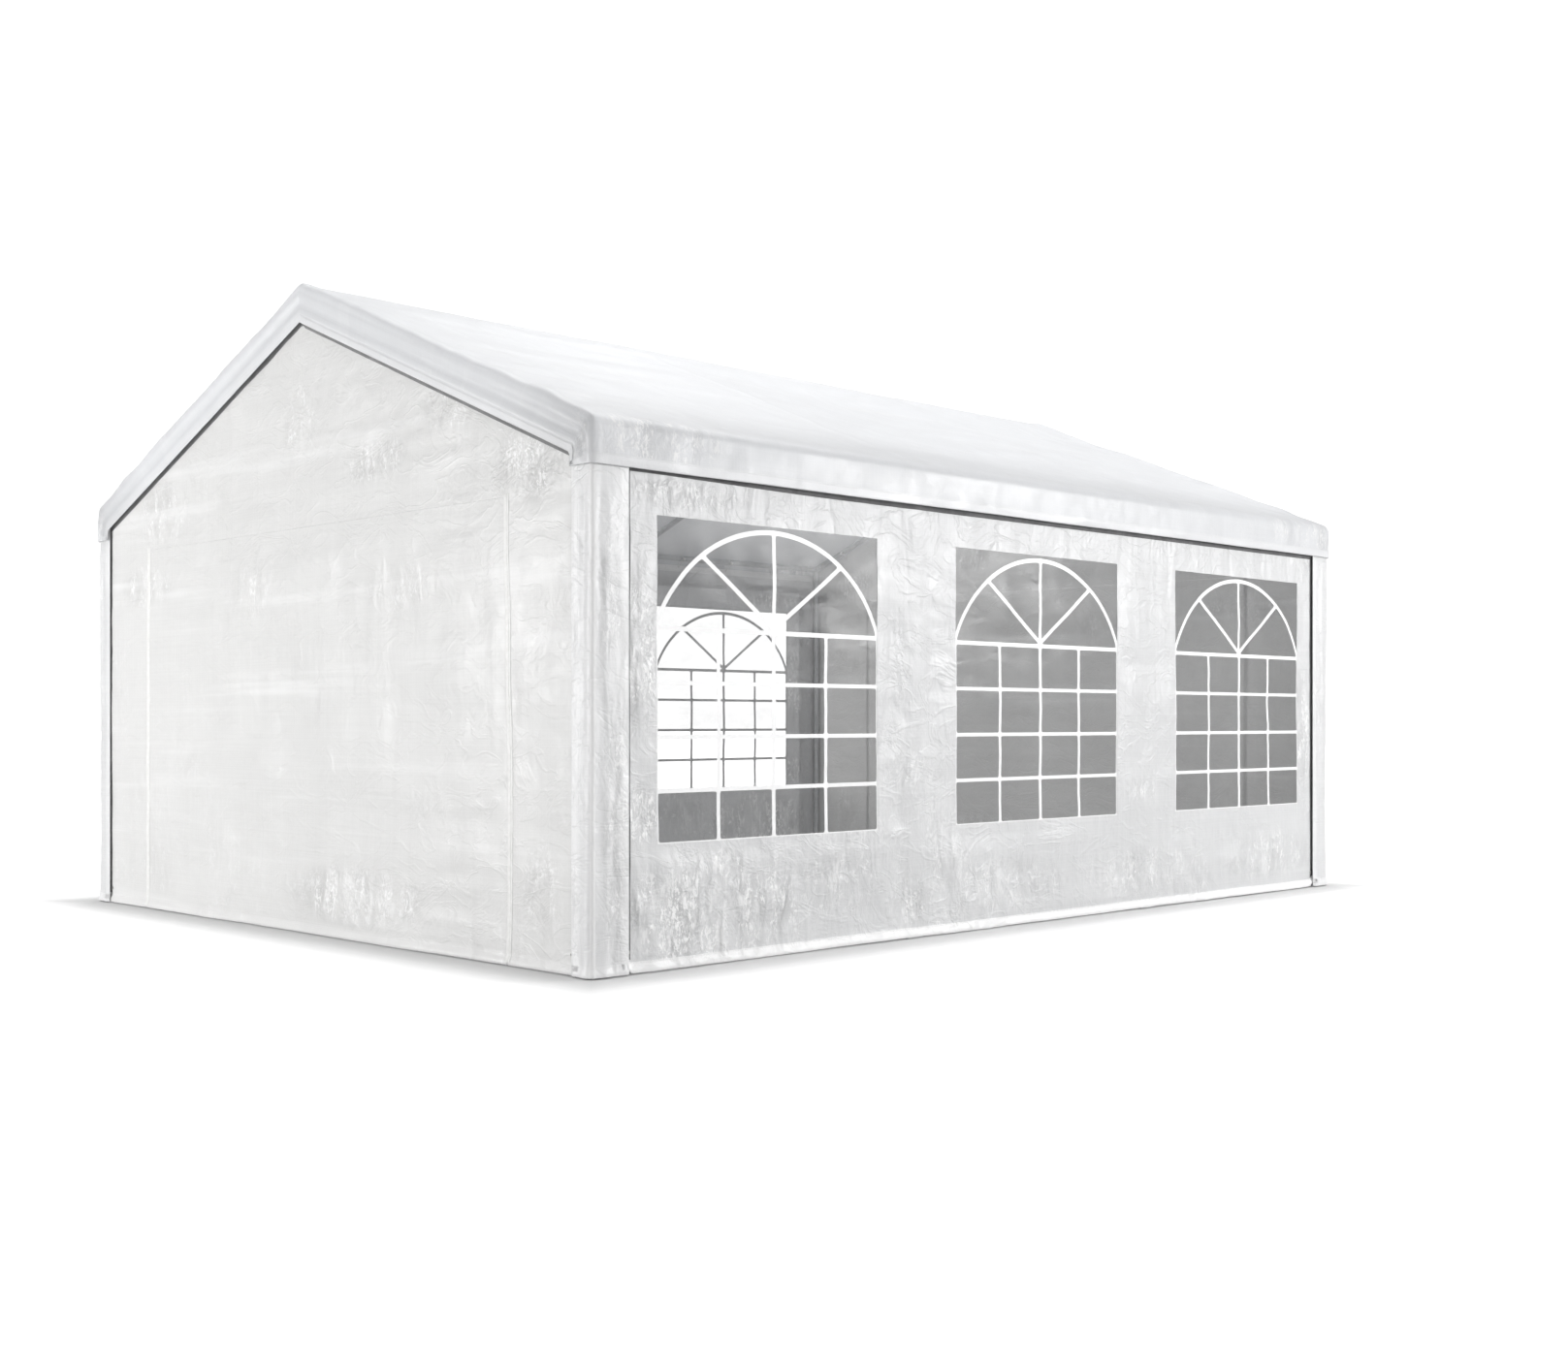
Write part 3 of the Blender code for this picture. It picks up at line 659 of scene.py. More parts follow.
# ---------------------------------------------------------------- corner covers
def corner_cover(side, end):
    """The strip round a corner post, from under the valance to the ground."""
    turn_r = CORNER_TURN
    face_y, face_x = HALF_W - CORNER_FACE, HALF_L - CORNER_FACE
    seed = {"front": 0, "back": 2}[side] + {"left": 0, "right": 1}[end] + 200
    run_x = CORNER_X - CORNER_FACE - turn_r
    run_y = CORNER_Y - CORNER_FACE - turn_r
    arc = turn_r * math.pi / 2
    total = run_x + arc + run_y
    us = lines(sorted(set(NEAR) | {total - d for d in NEAR} | {run_x, run_x + arc}), 0.009)
    zs = lines([WALL_BOTTOM + d for d in NEAR] + [CORNER_TOP], 0.013)
    u, z = np.meshgrid(us, zs)
    p = np.zeros(u.shape + (3,))
    out = np.zeros_like(p)
    a = np.clip((u - run_x) / turn_r, 0, math.pi / 2)
    # From the edge on the long side, round the corner, to the edge on the gable.
    p[..., 0] = -(HALF_L - CORNER_X) - np.minimum(u, run_x) - turn_r * np.sin(a)
    p[..., 1] = -face_y + turn_r * (1 - np.cos(a)) + np.maximum(u - run_x - arc, 0)
    p[..., 2] = z
    out[..., 0], out[..., 1] = -np.sin(a), -np.cos(a)
    edge = np.minimum(np.minimum(u, total - u), z - WALL_BOTTOM)
    soft = smooth(np.minimum(u, total - u), 0.0, 0.02)
    height = 1 - 0.75 * smooth(z, 1.85, 1.97)
    d = 0.0060 * fbm(u * 7.0, z * 0.9, seed, 3) * soft * height
    d += 0.0030 * creases(u * 11.0, z * 4.0, seed + 20, 2) * soft * height
    # It hangs in narrow upright folds beside the corner and spreads a little at its foot.
    d += 0.0038 * soft * height * np.sin(u * 70.0 + 2.0 * noise(z * 0.7, u * 2, seed + 5)) * bell(u, run_x + arc / 2, 0.085)
    d += 0.0075 * bell(z, 0.0, 0.05) * soft
    d += 0.0030 * bell(z - WALL_BOTTOM, 0.012, 0.010)
    # The two strips are welded together along the corner in a ridge.
    d += 0.0045 * bell(u, run_x + arc / 2, 0.0075)
    p = p + out * d[..., None]
    p[..., 2] += (1 - smooth(z, 0.0, 0.3)) * (0.004 + 0.003 * noise(u * 6.0, z * 0, seed + 9))
    sheet = Sheet(p, u, z, edge).hemmed("bottom", 1, 6).hemmed("left", 1, 6).hemmed("right", 1, 6)
    turned, mirrored = side == "back", (side == "back") != (end == "right")
    name = f"corner_cover_{side}_{end}"
    # The back left and front right covers take the darker copy of the corner sheet, as painted shade.
    obj = sheet_object(f"{name}_sheet", sheet, CORNER_SHADED if (side == "back") == (end == "left") else CORNER, turn=turned, mirror=mirrored)
    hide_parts(name)
    flat = (total + 2 * HEM, CORNER_TOP - WALL_BOTTOM + HEM)
    min(sheet.area(), flat[0] * flat[1])


# ---------------------------------------------------------------- walls
def hem_bulge(z):
    """The bottom hem: a cord runs in it, and above the cord it leans back to its weld."""
    h = z - WALL_BOTTOM
    return 0.0095 * (1 - smooth(h, 0.010, HEM)) * smooth(h, -0.014, 0.006) - 0.0010 * bell(h, HEM + 0.003, 0.004)


def long_wall_wave(x, z, seed):
    """How far the long wall stands out of its plane, without the small creases."""
    posts = np.zeros_like(x)
    for fx in FRAME_X:
        posts = np.maximum(posts, bell(x, fx, 0.09))
    free = (1 - 0.8 * smooth(z, 1.70, 1.93)) * (1 - 0.85 * smooth(np.abs(x), 2.60, 2.80))
    d = 0.0120 * fbm(x * 0.55 + 3, z * 0.75, seed, 2) + 0.0075 * fbm(x * 0.8, z * 3.4, seed + 3, 3)
    d += 0.0050 * fbm(x * 3.1, z * 1.2, seed + 6, 2)
    d = d * free * (0.35 + 0.65 * smooth(window_span(x, z), 0.0, 0.12))
    return d * (1 - 0.85 * posts) + 0.0015 * posts


def window_span(x, z):
    """Distance outside the nearest window's edge, negative inside it."""
    best = np.full_like(x, 1e9)
    for cx in WINDOW_X:
        dx = np.abs(x - cx) - WINDOW_W / 2
        dz = np.maximum(WINDOW_LOW - z, z - WINDOW_HIGH)
        best = np.minimum(best, np.maximum(dx, dz))
    return best


def long_wall_creases(x, z, seed):
    low_part = 1 - 0.4 * smooth(z, 0.30, 0.80)
    patch = 0.30 + 0.70 * smooth(noise(x * 0.9, z * 1.3, seed + 12), -0.15, 0.5)
    for cx, cz, wide, high, strength in ((-2.40, 0.22, 0.5, 0.25, 1.2), (-1.93, 0.22, 0.2, 0.22, 1.1), (-1.05, 0.17, 0.25, 0.16, 1.0)):
        patch = np.maximum(patch, strength * bell(x, cx, wide) * bell(z, cz, high))
    d = 0.0085 * creases(x * 4.4, z * 4.4, seed + 9, 3) * low_part * patch
    return d + pack_folds(x, z, seed + 15, 0.74, 0.52, 0.0032, (-LONG_HALF, LONG_HALF), (0.0, LONG_TOP))


def long_wall_place(x, z, seed, off):
    """The place of a point of the long wall, off metres in front of the sheet."""
    free = smooth(window_span(x, z), 0.004, 0.05) * (1 - 0.7 * smooth(z, 1.72, 1.93)) * (1 - 0.6 * smooth(np.abs(x), 2.66, 2.80))
    d = long_wall_wave(x, z, seed) + long_wall_creases(x, z, seed) * free + hem_bulge(z) + off
    lift = (1 - smooth(z, 0.0, 0.35)) * (0.003 + 0.0025 * noise(x * 1.3, z * 0, seed + 2))
    # The bottom corners are rounded where the corner covers begin.
    t = np.clip((np.abs(x) - 2.772) / 0.028, 0.0, 1.0)
    lift += 0.024 * (1 - np.sqrt(1 - t * t)) * (1 - smooth(z, 0.0, 0.10))
    return np.stack([x, -(HALF_W - WALL_FACE) - d, z + lift], -1)


def painted_shadow_strip(name, grids, turned, material):
    """Dark strips just in front of a wall, in the gap under the cover's edges, as painted shadow: one object of several
    grids.
    """
    points, faces = [], []
    for g in grids:
        start = len(points)
        r, c = g.shape[:2]
        points += g.reshape(-1, 3).tolist()
        idx = np.arange(r * c).reshape(r, c) + start
        faces += np.stack([idx[:-1, :-1], idx[:-1, 1:], idx[1:, 1:], idx[1:, :-1]], -1).reshape(-1, 4).tolist()
    points = np.array(points)
    if turned:
        points[:, :2] *= -1
    return build(name, points, np.array(faces), material)


def long_wall(side):
    seed = 300 if side == "front" else 340
    turned = side == "back"
    breaks = [c + s * WINDOW_W / 2 for c in WINDOW_X for s in (-1, 1)]
    xs = edged(-LONG_HALF, LONG_HALF, breaks, 0.0165)
    zs = edged(WALL_BOTTOM, LONG_TOP, [WINDOW_LOW, WINDOW_HIGH], 0.0165)
    x, z = np.meshgrid(xs, zs)
    mid_x, mid_z = (xs[1:] + xs[:-1]) / 2, (zs[1:] + zs[:-1]) / 2
    keep = np.ones((len(mid_z), len(mid_x)), bool)
    for cx in WINDOW_X:
        keep &= ~((np.abs(mid_x[None, :] - cx) < WINDOW_W / 2) & (mid_z[:, None] > WINDOW_LOW) & (mid_z[:, None] < WINDOW_HIGH))
    edge = np.minimum(np.minimum(x + LONG_HALF, LONG_HALF - x), np.minimum(z - WALL_BOTTOM, LONG_TOP - z))
    p = long_wall_place(x, z, seed, 0.0)
    sheet = Sheet(p, x, z, edge, keep).hemmed("bottom", -1, 6).hemmed("left", -1, 6).hemmed("right", -1, 6)
    obj = sheet_object(f"{side}_wall_sheet", sheet, WALL, turn=turned)
    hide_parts(f"{side}_wall")
    flat = (2 * (LONG_HALF + HEM), LONG_TOP - WALL_BOTTOM + HEM)
    # Painted shadow: dark strips on the wall under the valance's edge and beside the corner covers, where the shade
    # falls.
    x = np.repeat(lines([-2.80, 2.80], 0.0165)[None, :], 4, axis=0)
    low = VALANCE_BOTTOM - 0.009 - 0.011 * smooth(x[0], -2.75, -1.6)
    z = low[None, :] + (1.996 - low)[None, :] * np.array([0, 0.33, 0.66, 1.0])[:, None]
    grids = [long_wall_place(x, z, seed, 0.0016)]
    for s in (-1, 1):
        x, z = np.meshgrid(sorted((s * (2.783 if s < 0 else 2.790), s * 2.811, s * 2.835)), lines([0.055, 1.985], 0.0165))
        grids.append(long_wall_place(x, z, seed, 0.0016))
    gap = painted_shadow_strip(f"{side}_wall_painted_shadow_strip", grids, turned, PAINTED_SHADOW)
    min(sheet.area(), flat[0] * flat[1])
    for k, cx in enumerate(WINDOW_X, start=1):
        window(side, k, cx, seed, turned)


# ---------------------------------------------------------------- windows
SPRING, ARCH_TOP = 1.350, 1.768
ROWS = (1.135, 0.920, 0.707)


def bar_distance(x, z):
    """Signed distance to the printed bars of a window whose middle is at x = 0, negative on the print."""

    def ellipse(a, b, low):
        r = np.sqrt((x / a) ** 2 + ((z - low) / b) ** 2)
        g = np.sqrt((x / a**2) ** 2 + ((z - low) / b**2) ** 2) / np.maximum(r, 1e-9)
        return (r - 1) / np.maximum(g, 1e-9)

    def strip(ax, az, bx, bz, width):
        px, pz, dx, dz = x - ax, z - az, bx - ax, bz - az
        t = np.clip((px * dx + pz * dz) / (dx * dx + dz * dz), 0, 1)
        return np.hypot(px - t * dx, pz - t * dz) - width / 2

    def join(a, b, k=0.009):
        h = np.clip(0.5 + 0.5 * (b - a) / k, 0, 1)
        return b + (a - b) * h - k * h * (1 - h)

    arch = np.maximum(np.abs(ellipse(0.7325, ARCH_TOP - 1.150, 1.150)) - 0.0104, SPRING - z)
    side = np.maximum(np.abs(np.abs(x) - 0.6925) - 0.0125, z - 1.380)
    d = join(arch, side)
    d = join(d, np.abs(z - SPRING) - 0.0098)
    for row in ROWS:
        d = join(d, np.abs(z - row) - 0.0084)
    d = join(d, np.abs(z - (WINDOW_LOW - 0.006)) - 0.011)
    below = z - SPRING
    d = join(d, strip(0.0, WINDOW_LOW - 0.02, 0.0, ARCH_TOP - 0.004, 0.0220))
    for c in (-0.336, 0.336):
        d = join(d, np.maximum(np.abs(x - c) - 0.0100, below))
    for s in (-1, 1):
        d = join(d, strip(0.0, SPRING + 0.015, s * 0.430, 1.646, 0.0205))
    return np.maximum(d, np.abs(x) - 0.703)


def contour(distance, x0, x1, z0, z1, step):
    """Flat faces that fill the region where distance is negative, with their edge on its zero line."""
    nx, nz = round((x1 - x0) / step), round((z1 - z0) / step)
    xs, zs = np.linspace(x0, x1, nx + 1), np.linspace(z0, z1, nz + 1)
    gx, gz = np.meshgrid(xs, zs)
    f = distance(gx, gz)
    f[np.abs(f) < 1e-5] = 1e-5
    points, faces, seen = [], [], {}

    def point(key, x, z):
        if key not in seen:
            seen[key] = len(points)
            points.append((x, z))
        return seen[key]

    inside = f < 0
    busy = inside[:-1, :-1] | inside[1:, :-1] | inside[:-1, 1:] | inside[1:, 1:]
    for j, i in zip(*np.nonzero(busy)):
        ring = ((j, i), (j, i + 1), (j + 1, i + 1), (j + 1, i))
        face = []
        for k in range(4):
            a, b = ring[k], ring[(k + 1) % 4]
            fa, fb = f[a], f[b]
            if fa < 0:
                face.append(point(a, xs[a[1]], zs[a[0]]))
            if (fa < 0) != (fb < 0):
                t = fa / (fa - fb)
                t = min(max(t, 0.02), 0.98)
                if b < a:
                    a, b, t = b, a, 1 - t
                face.append(point((a, b), xs[a[1]] + (xs[b[1]] - xs[a[1]]) * t, zs[a[0]] + (zs[b[0]] - zs[a[0]]) * t))
        if len(face) >= 3:
            faces.append(face)
    return np.array(points), faces


BARS = contour(bar_distance, -0.701, 0.701, WINDOW_LOW - FILM_LAP, WINDOW_HIGH + FILM_LAP - 0.001, 0.0068)


def window(side, k, cx, seed, turned):
    """The film behind one cut-out, and the bars printed on it."""
    w, low, high = WINDOW_W / 2 + FILM_LAP, WINDOW_LOW - FILM_LAP, WINDOW_HIGH + FILM_LAP
    film_y = -(HALF_W - WALL_FACE) + 0.0020

    def wave(x, z):
        inside = smooth(-window_span(x, z), 0.0, 0.12)
        return long_wall_wave(x, z, seed) + inside * (0.0022 * fbm(x * 1.2, z * 4.4, seed + 31, 3) + 0.0010 * fbm(x * 5.0, z * 1.5, seed + 35, 2))

    x, z = np.meshgrid(lines([cx - w, cx - WINDOW_W / 2, cx + WINDOW_W / 2, cx + w], 0.022), lines([low, WINDOW_LOW, WINDOW_HIGH, high], 0.022))
    p = np.stack([x, film_y - wave(x, z), z], -1)
    edge = np.minimum(np.minimum(x - cx + w, cx + w - x), np.minimum(z - low, high - z))
    film = Sheet(p, x, z, edge)
    name = f"{side}_window_film_{k}"
    obj = sheet_object(f"{name}_sheet", film, FILM, turn=turned)
    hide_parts(name)
    flat, faces = BARS
    bx, bz = flat[:, 0] + cx, flat[:, 1]
    pts = np.stack([bx, film_y - wave(bx, bz) - 0.0007, bz], -1)
    if turned:
        pts[:, :2] *= -1
    mesh = bpy.data.meshes.new(f"{side}_window_bars_{k}")
    mesh.from_pydata(pts.tolist(), [], faces)
    mesh.shade_smooth()
    mesh.materials.append(PRINT)
    bars = bpy.data.objects.new(mesh.name, mesh)
    bpy.context.scene.collection.objects.link(bars)
    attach(bars, "root")


# ---------------------------------------------------------------- gables
def gable_wave(y, z, seed):
    free = (1 - 0.8 * smooth(np.abs(y), 1.62, 1.86)) * (1 - 0.85 * smooth(z + SLOPE * np.abs(y), 2.50, 2.80))
    stiff = 1 - 0.75 * bell(np.abs(y), DOOR_HALF, 0.16) * (1 - smooth(z, DOOR_TOP, DOOR_TOP + 0.25))
    d = 0.0170 * fbm(y * 0.6 + 2, z * 0.8, seed, 2) + 0.0095 * fbm(y * 0.7, z * 3.2, seed + 3, 3) * stiff
    d += 0.0036 * fbm(y * 3.0, z * 1.0, seed + 6, 2)
    return d * free + 0.0005


def gable_place(y, z, seed, off):
    """The place of a point of the gable wall or its door flap, off metres in front of the sheet."""
    near_zip = np.abs(np.maximum(np.abs(y) - DOOR_HALF - 0.002, z - DOOR_TOP))
    d = gable_wave(y, z, seed) + gable_small(y, z, seed, near_zip) + hem_bulge(z) + off
    lift = (1 - smooth(z, 0.0, 0.35)) * (0.003 + 0.0025 * noise(y * 1.2, z * 0, seed + 2))
    return np.stack([-(HALF_L - WALL_FACE) - d, -y, z + lift], -1)


def gable(end):
    seed = 400 if end == "left" else 440
    turned = end == "right"
    zip_gap = 0.004
    d_half = DOOR_HALF + zip_gap
    # Lines go up the wall in parts, so that some of them run level with the top of the doorway.
    ys = edged(-GABLE_HALF, GABLE_HALF, [-d_half, d_half, 0.0], 0.0175)
    low = lines([WALL_BOTTOM + d for d in NEAR] + [DOOR_TOP + 0.0006], 0.0175)
    side_top = GABLE_APEX - SLOPE * GABLE_HALF
    n_high = math.ceil((GABLE_APEX - DOOR_TOP) / 0.021)
    tops = GABLE_APEX - SLOPE * np.abs(ys)
    f = np.linspace(0, 1, n_high + 1)[1:]
    zcols = np.concatenate([np.repeat(low[:, None], len(ys), axis=1), low[-1] + (tops[None, :] - low[-1]) * f[:, None]])
    y = np.repeat(ys[None, :], zcols.shape[0], axis=0)
    z = zcols
    mid_y = (ys[1:] + ys[:-1]) / 2
    keep = np.ones((z.shape[0] - 1, z.shape[1] - 1), bool)
    keep[: len(low) - 1, :] &= ~(np.abs(mid_y)[None, :] < d_half)
    edge = np.minimum(GABLE_HALF - np.abs(y), np.minimum(z - WALL_BOTTOM, (tops[None, :] - z) * math.cos(PITCH)))
    p = gable_place(y, z, seed, 0.0)
    sheet = Sheet(p, y, z, edge, keep).hemmed("bottom", -1, 6).hemmed("left", -1, 6).hemmed("right", -1, 6)
    obj = sheet_object(f"{end}_gable_wall_sheet", sheet, GABLE, turn=turned)
    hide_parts(f"{end}_gable_wall")
    flat = (2 * (GABLE_HALF + HEM), GABLE_APEX - WALL_BOTTOM + HEM)
    # Painted shadow: paler dark strips on the gable under the roof's borders and beside the corner covers.
    foot = HALF_W - CORNER_Y
    y = np.repeat(lines([-foot, 0.0, foot], 0.0175)[None, :], 4, axis=0)
    under = BORDER_APEX - (BORDER_APEX - BORDER_FOOT) / foot * np.abs(y)
    lower = 0.0125 * smooth(-y, -0.02, 0.02)
    grids = [gable_place(y, under + (np.array([-0.019, -0.003, 0.013, 0.031])[:, None] + lower * np.array([1.0, 0.8, 0.4, 0.0])[:, None]) / math.cos(PITCH), seed, 0.0016)]
    for s in (-1, 1):
        y, z = np.meshgrid(sorted((s * 1.868, s * 1.887, s * 1.906)), lines([0.055, BORDER_FOOT + 0.02], 0.0175))
        grids.append(gable_place(y, z, seed, 0.0016))
    gap = painted_shadow_strip(f"{end}_gable_painted_shadow_strip", grids, turned, PAINTED_SHADOW_PALE)
    min(max(sheet.area(), 0.31 * flat[0] * flat[1]), flat[0] * flat[1])

    # The door flap between the zips.
    ys = edged(-DOOR_HALF, DOOR_HALF, [0.0], 0.0175)
    zs = lines([WALL_BOTTOM + d for d in NEAR] + [DOOR_TOP], 0.0175)
    y, z = np.meshgrid(ys, zs)
    edge = np.minimum(z - WALL_BOTTOM, 0.12 + np.minimum(DOOR_HALF - np.abs(y), DOOR_TOP - z))
    p = gable_place(y, z, seed, 0.0)
    flap = Sheet(p, y, z, edge).hemmed("bottom", -1, 6)
    obj = sheet_object(f"{end}_gable_door_flap_sheet", flap, GABLE, turn=turned)
    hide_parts(f"{end}_gable_door_flap")
    zips = [zip_fastener(end, side, seed, turned) for side in (-1, 1)]


def gable_small(y, z, seed, near_zip):
    """The gable's small creases, which die out at its zips."""
    free = smooth(near_zip, 0.004, 0.04) * (1 - 0.5 * smooth(np.abs(y), 1.70, 1.85))
    patch = 0.25 + 0.75 * smooth(noise(y * 0.9, z * 1.3, seed + 12), -0.15, 0.5)
    d = 0.0070 * creases(y * 3.4, z * 5.2, seed + 9, 3) * patch
    d += pack_folds(y, z, seed + 15, 0.66, 0.42, 0.0032, (-GABLE_HALF, GABLE_HALF), (0.0, GABLE_APEX))
    return d * free


def zip_fastener(end, side, seed, turned):
    """Two tapes and a closed row of moulded teeth."""
    name = f"{end}_gable_zip_{'right' if side < 0 else 'left'}"
    mid = side * (DOOR_HALF + 0.002)
    # Across the zip: the tape's edge, its stitched middle, the teeth, and back.
    cut = [(-0.0150, 0.0009), (-0.0145, 0.0014), (-0.0070, 0.0015), (-0.0042, 0.0014), (-0.0036, 0.0026), (-0.0022, 0.0031),
           (0.0022, 0.0031), (0.0036, 0.0026), (0.0042, 0.0014), (0.0070, 0.0015), (0.0145, 0.0014), (0.0150, 0.0009)]
    zs = lines([WALL_BOTTOM + 0.012, DOOR_TOP + 0.012], 0.006)
    y, z = np.meshgrid(mid + np.array([c[0] for c in cut]), zs)
    high = np.repeat(np.array([c[1] for c in cut])[None, :], len(zs), axis=0)
    high[:, 4:8] += 0.0005 * np.where(np.arange(len(zs)) % 2 == 0, 1, -1)[:, None]
    p = gable_place(y, z, seed, high)
    tape = sheet_object(name, Sheet(p, y, z, np.full_like(y, 0.1)), ZIP, turn=turned)
    return tape


for side in ("front", "back"):
    long_wall(side)
    for end in ("left", "right"):
        corner_cover(side, end)
for end in ("left", "right"):
    gable(end)
roof_cover()

# ---------------------------------------------------------------- fittings
class Solids:
    """Several turned or swept small parts that make one object."""

    def __init__(self):
        self.v, self.f, self.m = [], [], []

    def frame_of(self, axis):
        a = np.array(axis, float)
        a /= np.linalg.norm(a)
        b = np.cross(a, (0.0, 0.0, 1.0) if abs(a[2]) < 0.9 else (1.0, 0.0, 0.0))
        b /= np.linalg.norm(b)
        return a, b, np.cross(a, b)

    def lathe(self, at, axis, profile, n=20, closed=False, mat=0, scale=(1.0, 1.0), turn=0.0):
        """profile is (radius, height) pairs; an open one starts and ends on the axis."""
        a, b, c = self.frame_of(axis)
        start = len(self.v)
        rings = profile if closed else profile[1:-1]
        ang = np.arange(n) * 2 * math.pi / n + turn
        for r, h in rings:
            for t in ang:
                self.v.append(np.array(at) + a * h + (b * math.cos(t) * scale[0] + c * math.sin(t) * scale[1]) * r)
        count = len(rings)
        last = count if closed else count - 1
        for k in range(last):
            for i in range(n):
                j = (i + 1) % n
                p, q = start + k * n, start + ((k + 1) % count) * n
                self.f.append((p + i, p + j, q + j, q + i))
                self.m.append(mat)
        if not closed:
            for ring, h, order in ((0, profile[0][1], 1), (count - 1, profile[-1][1], -1)):
                self.v.append(np.array(at) + a * h)
                pole = len(self.v) - 1
                for i in range(n):
                    j = (i + 1) % n
                    p = start + ring * n
                    self.f.append((pole, p + j, p + i) if order == 1 else (pole, p + i, p + j))
                    self.m.append(mat)

    def loop(self, path, radius, n=8, mat=0):
        """A round cord along a closed path."""
        path = np.array(path)
        start, count = len(self.v), len(path)
        ahead = np.roll(path, -1, 0) - np.roll(path, 1, 0)
        ahead /= np.linalg.norm(ahead, axis=1, keepdims=True)
        flat = np.cross(path[count // 3] - path[0], path[2 * count // 3] - path[0])
        flat /= np.linalg.norm(flat)
        for p, t in zip(path, ahead):
            side = np.cross(t, flat)
            side /= np.linalg.norm(side)
            for k in range(n):
                w = 2 * math.pi * k / n
                self.v.append(p + radius * (flat * math.cos(w) + side * math.sin(w)))
        for k in range(count):
            for i in range(n):
                j = (i + 1) % n
                p, q = start + k * n, start + ((k + 1) % count) * n
                self.f.append((p + i, q + i, q + j, p + j))
                self.m.append(mat)

    def object(self, name, materials):
        mesh = bpy.data.meshes.new(name)
        mesh.from_pydata([tuple(v) for v in self.v], [], self.f)
        for m in materials:
            mesh.materials.append(m)
        mesh.polygons.foreach_set("material_index", self.m)
        mesh.update()
        bm = bmesh.new()
        bm.from_mesh(mesh)
        bmesh.ops.recalc_face_normals(bm, faces=bm.faces)
        for e in bm.edges:
            e.smooth = len(e.link_faces) == 2 and e.calc_face_angle(0.0) < 0.7
        for f in bm.faces:
            f.smooth = True
        bm.to_mesh(mesh)
        bm.free()
        obj = bpy.data.objects.new(name, mesh)
        bpy.context.scene.collection.objects.link(obj)
        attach(obj, "root")
        return obj


def bolt(solids, at, axis):
    """A washer and a six-sided head, chamfered, on a tube's surface."""
    washer = [(0, -0.0015), (0.0088, -0.0015), (0.0092, -0.0008), (0.0092, 0.0006), (0.0088, 0.0011), (0.0, 0.0011)]
    head = [(0, 0.0009), (0.0064, 0.0009), (0.0068, 0.0014), (0.0068, 0.0048), (0.0060, 0.0056), (0.0030, 0.0058), (0.0, 0.0055)]
    solids.lathe(at, axis, washer, 20)
    solids.lathe(at, axis, head, 6, turn=0.3)


def toggle_tie(solids, centre, out, down, reach):
    """An elastic loop round a tube, through the wall's top hem, with a ball that holds it."""
    c, e1, e2 = (np.array(v, float) for v in (centre, out, down))
    ring = 0.0235
    tip = e1 * 0.0215 + e2 * reach
    lean = math.atan2(tip @ e1, tip @ e2)
    half = math.acos(ring / np.linalg.norm(tip))
    path = []
    for k in range(19):
        w = lean + half + (2 * math.pi - 2 * half) * k / 18
        path.append(c + ring * (e1 * math.sin(w) + e2 * math.cos(w)))
    for k in (0.45, 0.85, 1.0):
        path.append(path[18] + (c + tip - path[18]) * k)
    for k in (0.15, 0.55):
        path.append(c + tip + (path[0] - c - tip) * k)
    solids.loop(path, 0.0021)
    ball = [(0.0115 * math.sin(math.pi * k / 10), -0.0115 * math.cos(math.pi * k / 10)) for k in range(11)]
    solids.lathe(c - e1 * (ring + 0.0105) + e2 * 0.008, e1, ball, 16, mat=1)


EYELET = [(0.0052, 0.0), (0.0056, 0.0011), (0.0070, 0.0018), (0.0088, 0.0015), (0.0100, 0.0004), (0.0100, -0.0004), (0.0075, -0.0006)]
screws = Solids()
slope_dir = {side: np.array((0.0, -1.0 if side > 0 else 1.0, SLOPE)) / math.hypot(1, SLOPE) for side in (-1, 1)}
for i, fx in enumerate(FRAME_X):
    for side in (-1, 1):
        joint = np.array((fx, side * POST_Y, EAVE_Z))
        bolt(screws, joint + (0, -side * 0.021, -0.088), (0, -side, 0))
        bolt(screws, joint + slope_dir[side] * 0.088 + (0.021 if i == 0 else -0.021, 0, 0), (1 if i == 0 else -1, 0, 0))
        bolt(screws, np.array((fx, 0, RIDGE_Z)) - slope_dir[side] * 0.088 + (0.021 if i == 0 else -0.021, 0, 0), (1 if i == 0 else -1, 0, 0))
        for way in (-1, 1):
            if (i, way) not in ((0, -1), (3, 1)):
                bolt(screws, joint + (way * 0.088, -side * 0.0215, 0), (0, -side, 0))
    for way in (-1, 1):
        if (i, way) not in ((0, -1), (3, 1)):
            bolt(screws, np.array((fx + way * 0.088, 0, RIDGE_Z - 0.0215)), (0, 0, -1))
screws.object("joint_bolts", [BOLT])

ties = Solids()
for side in (-1, 1):
    for x in (-2.46, -1.97, -1.48, -0.49, 0.0, 0.49, 1.48, 1.97, 2.46):
        toggle_tie(ties, (x, side * POST_Y, EAVE_Z), (0, side, 0), (0, 0, -1), 0.066)
    for end in (-1, 1):
        for y in (0.35, 0.80, 1.25, 1.68):
            centre = (end * FRAME_X[3], side * y, RIDGE_Z - SLOPE * y)
            down = (0, -side * SLOPE / math.hypot(1, SLOPE), -1 / math.hypot(1, SLOPE))
            toggle_tie(ties, centre, (end, 0, 0), down, 0.050)
ties.object("toggle_ties", [CORD, ZIP])

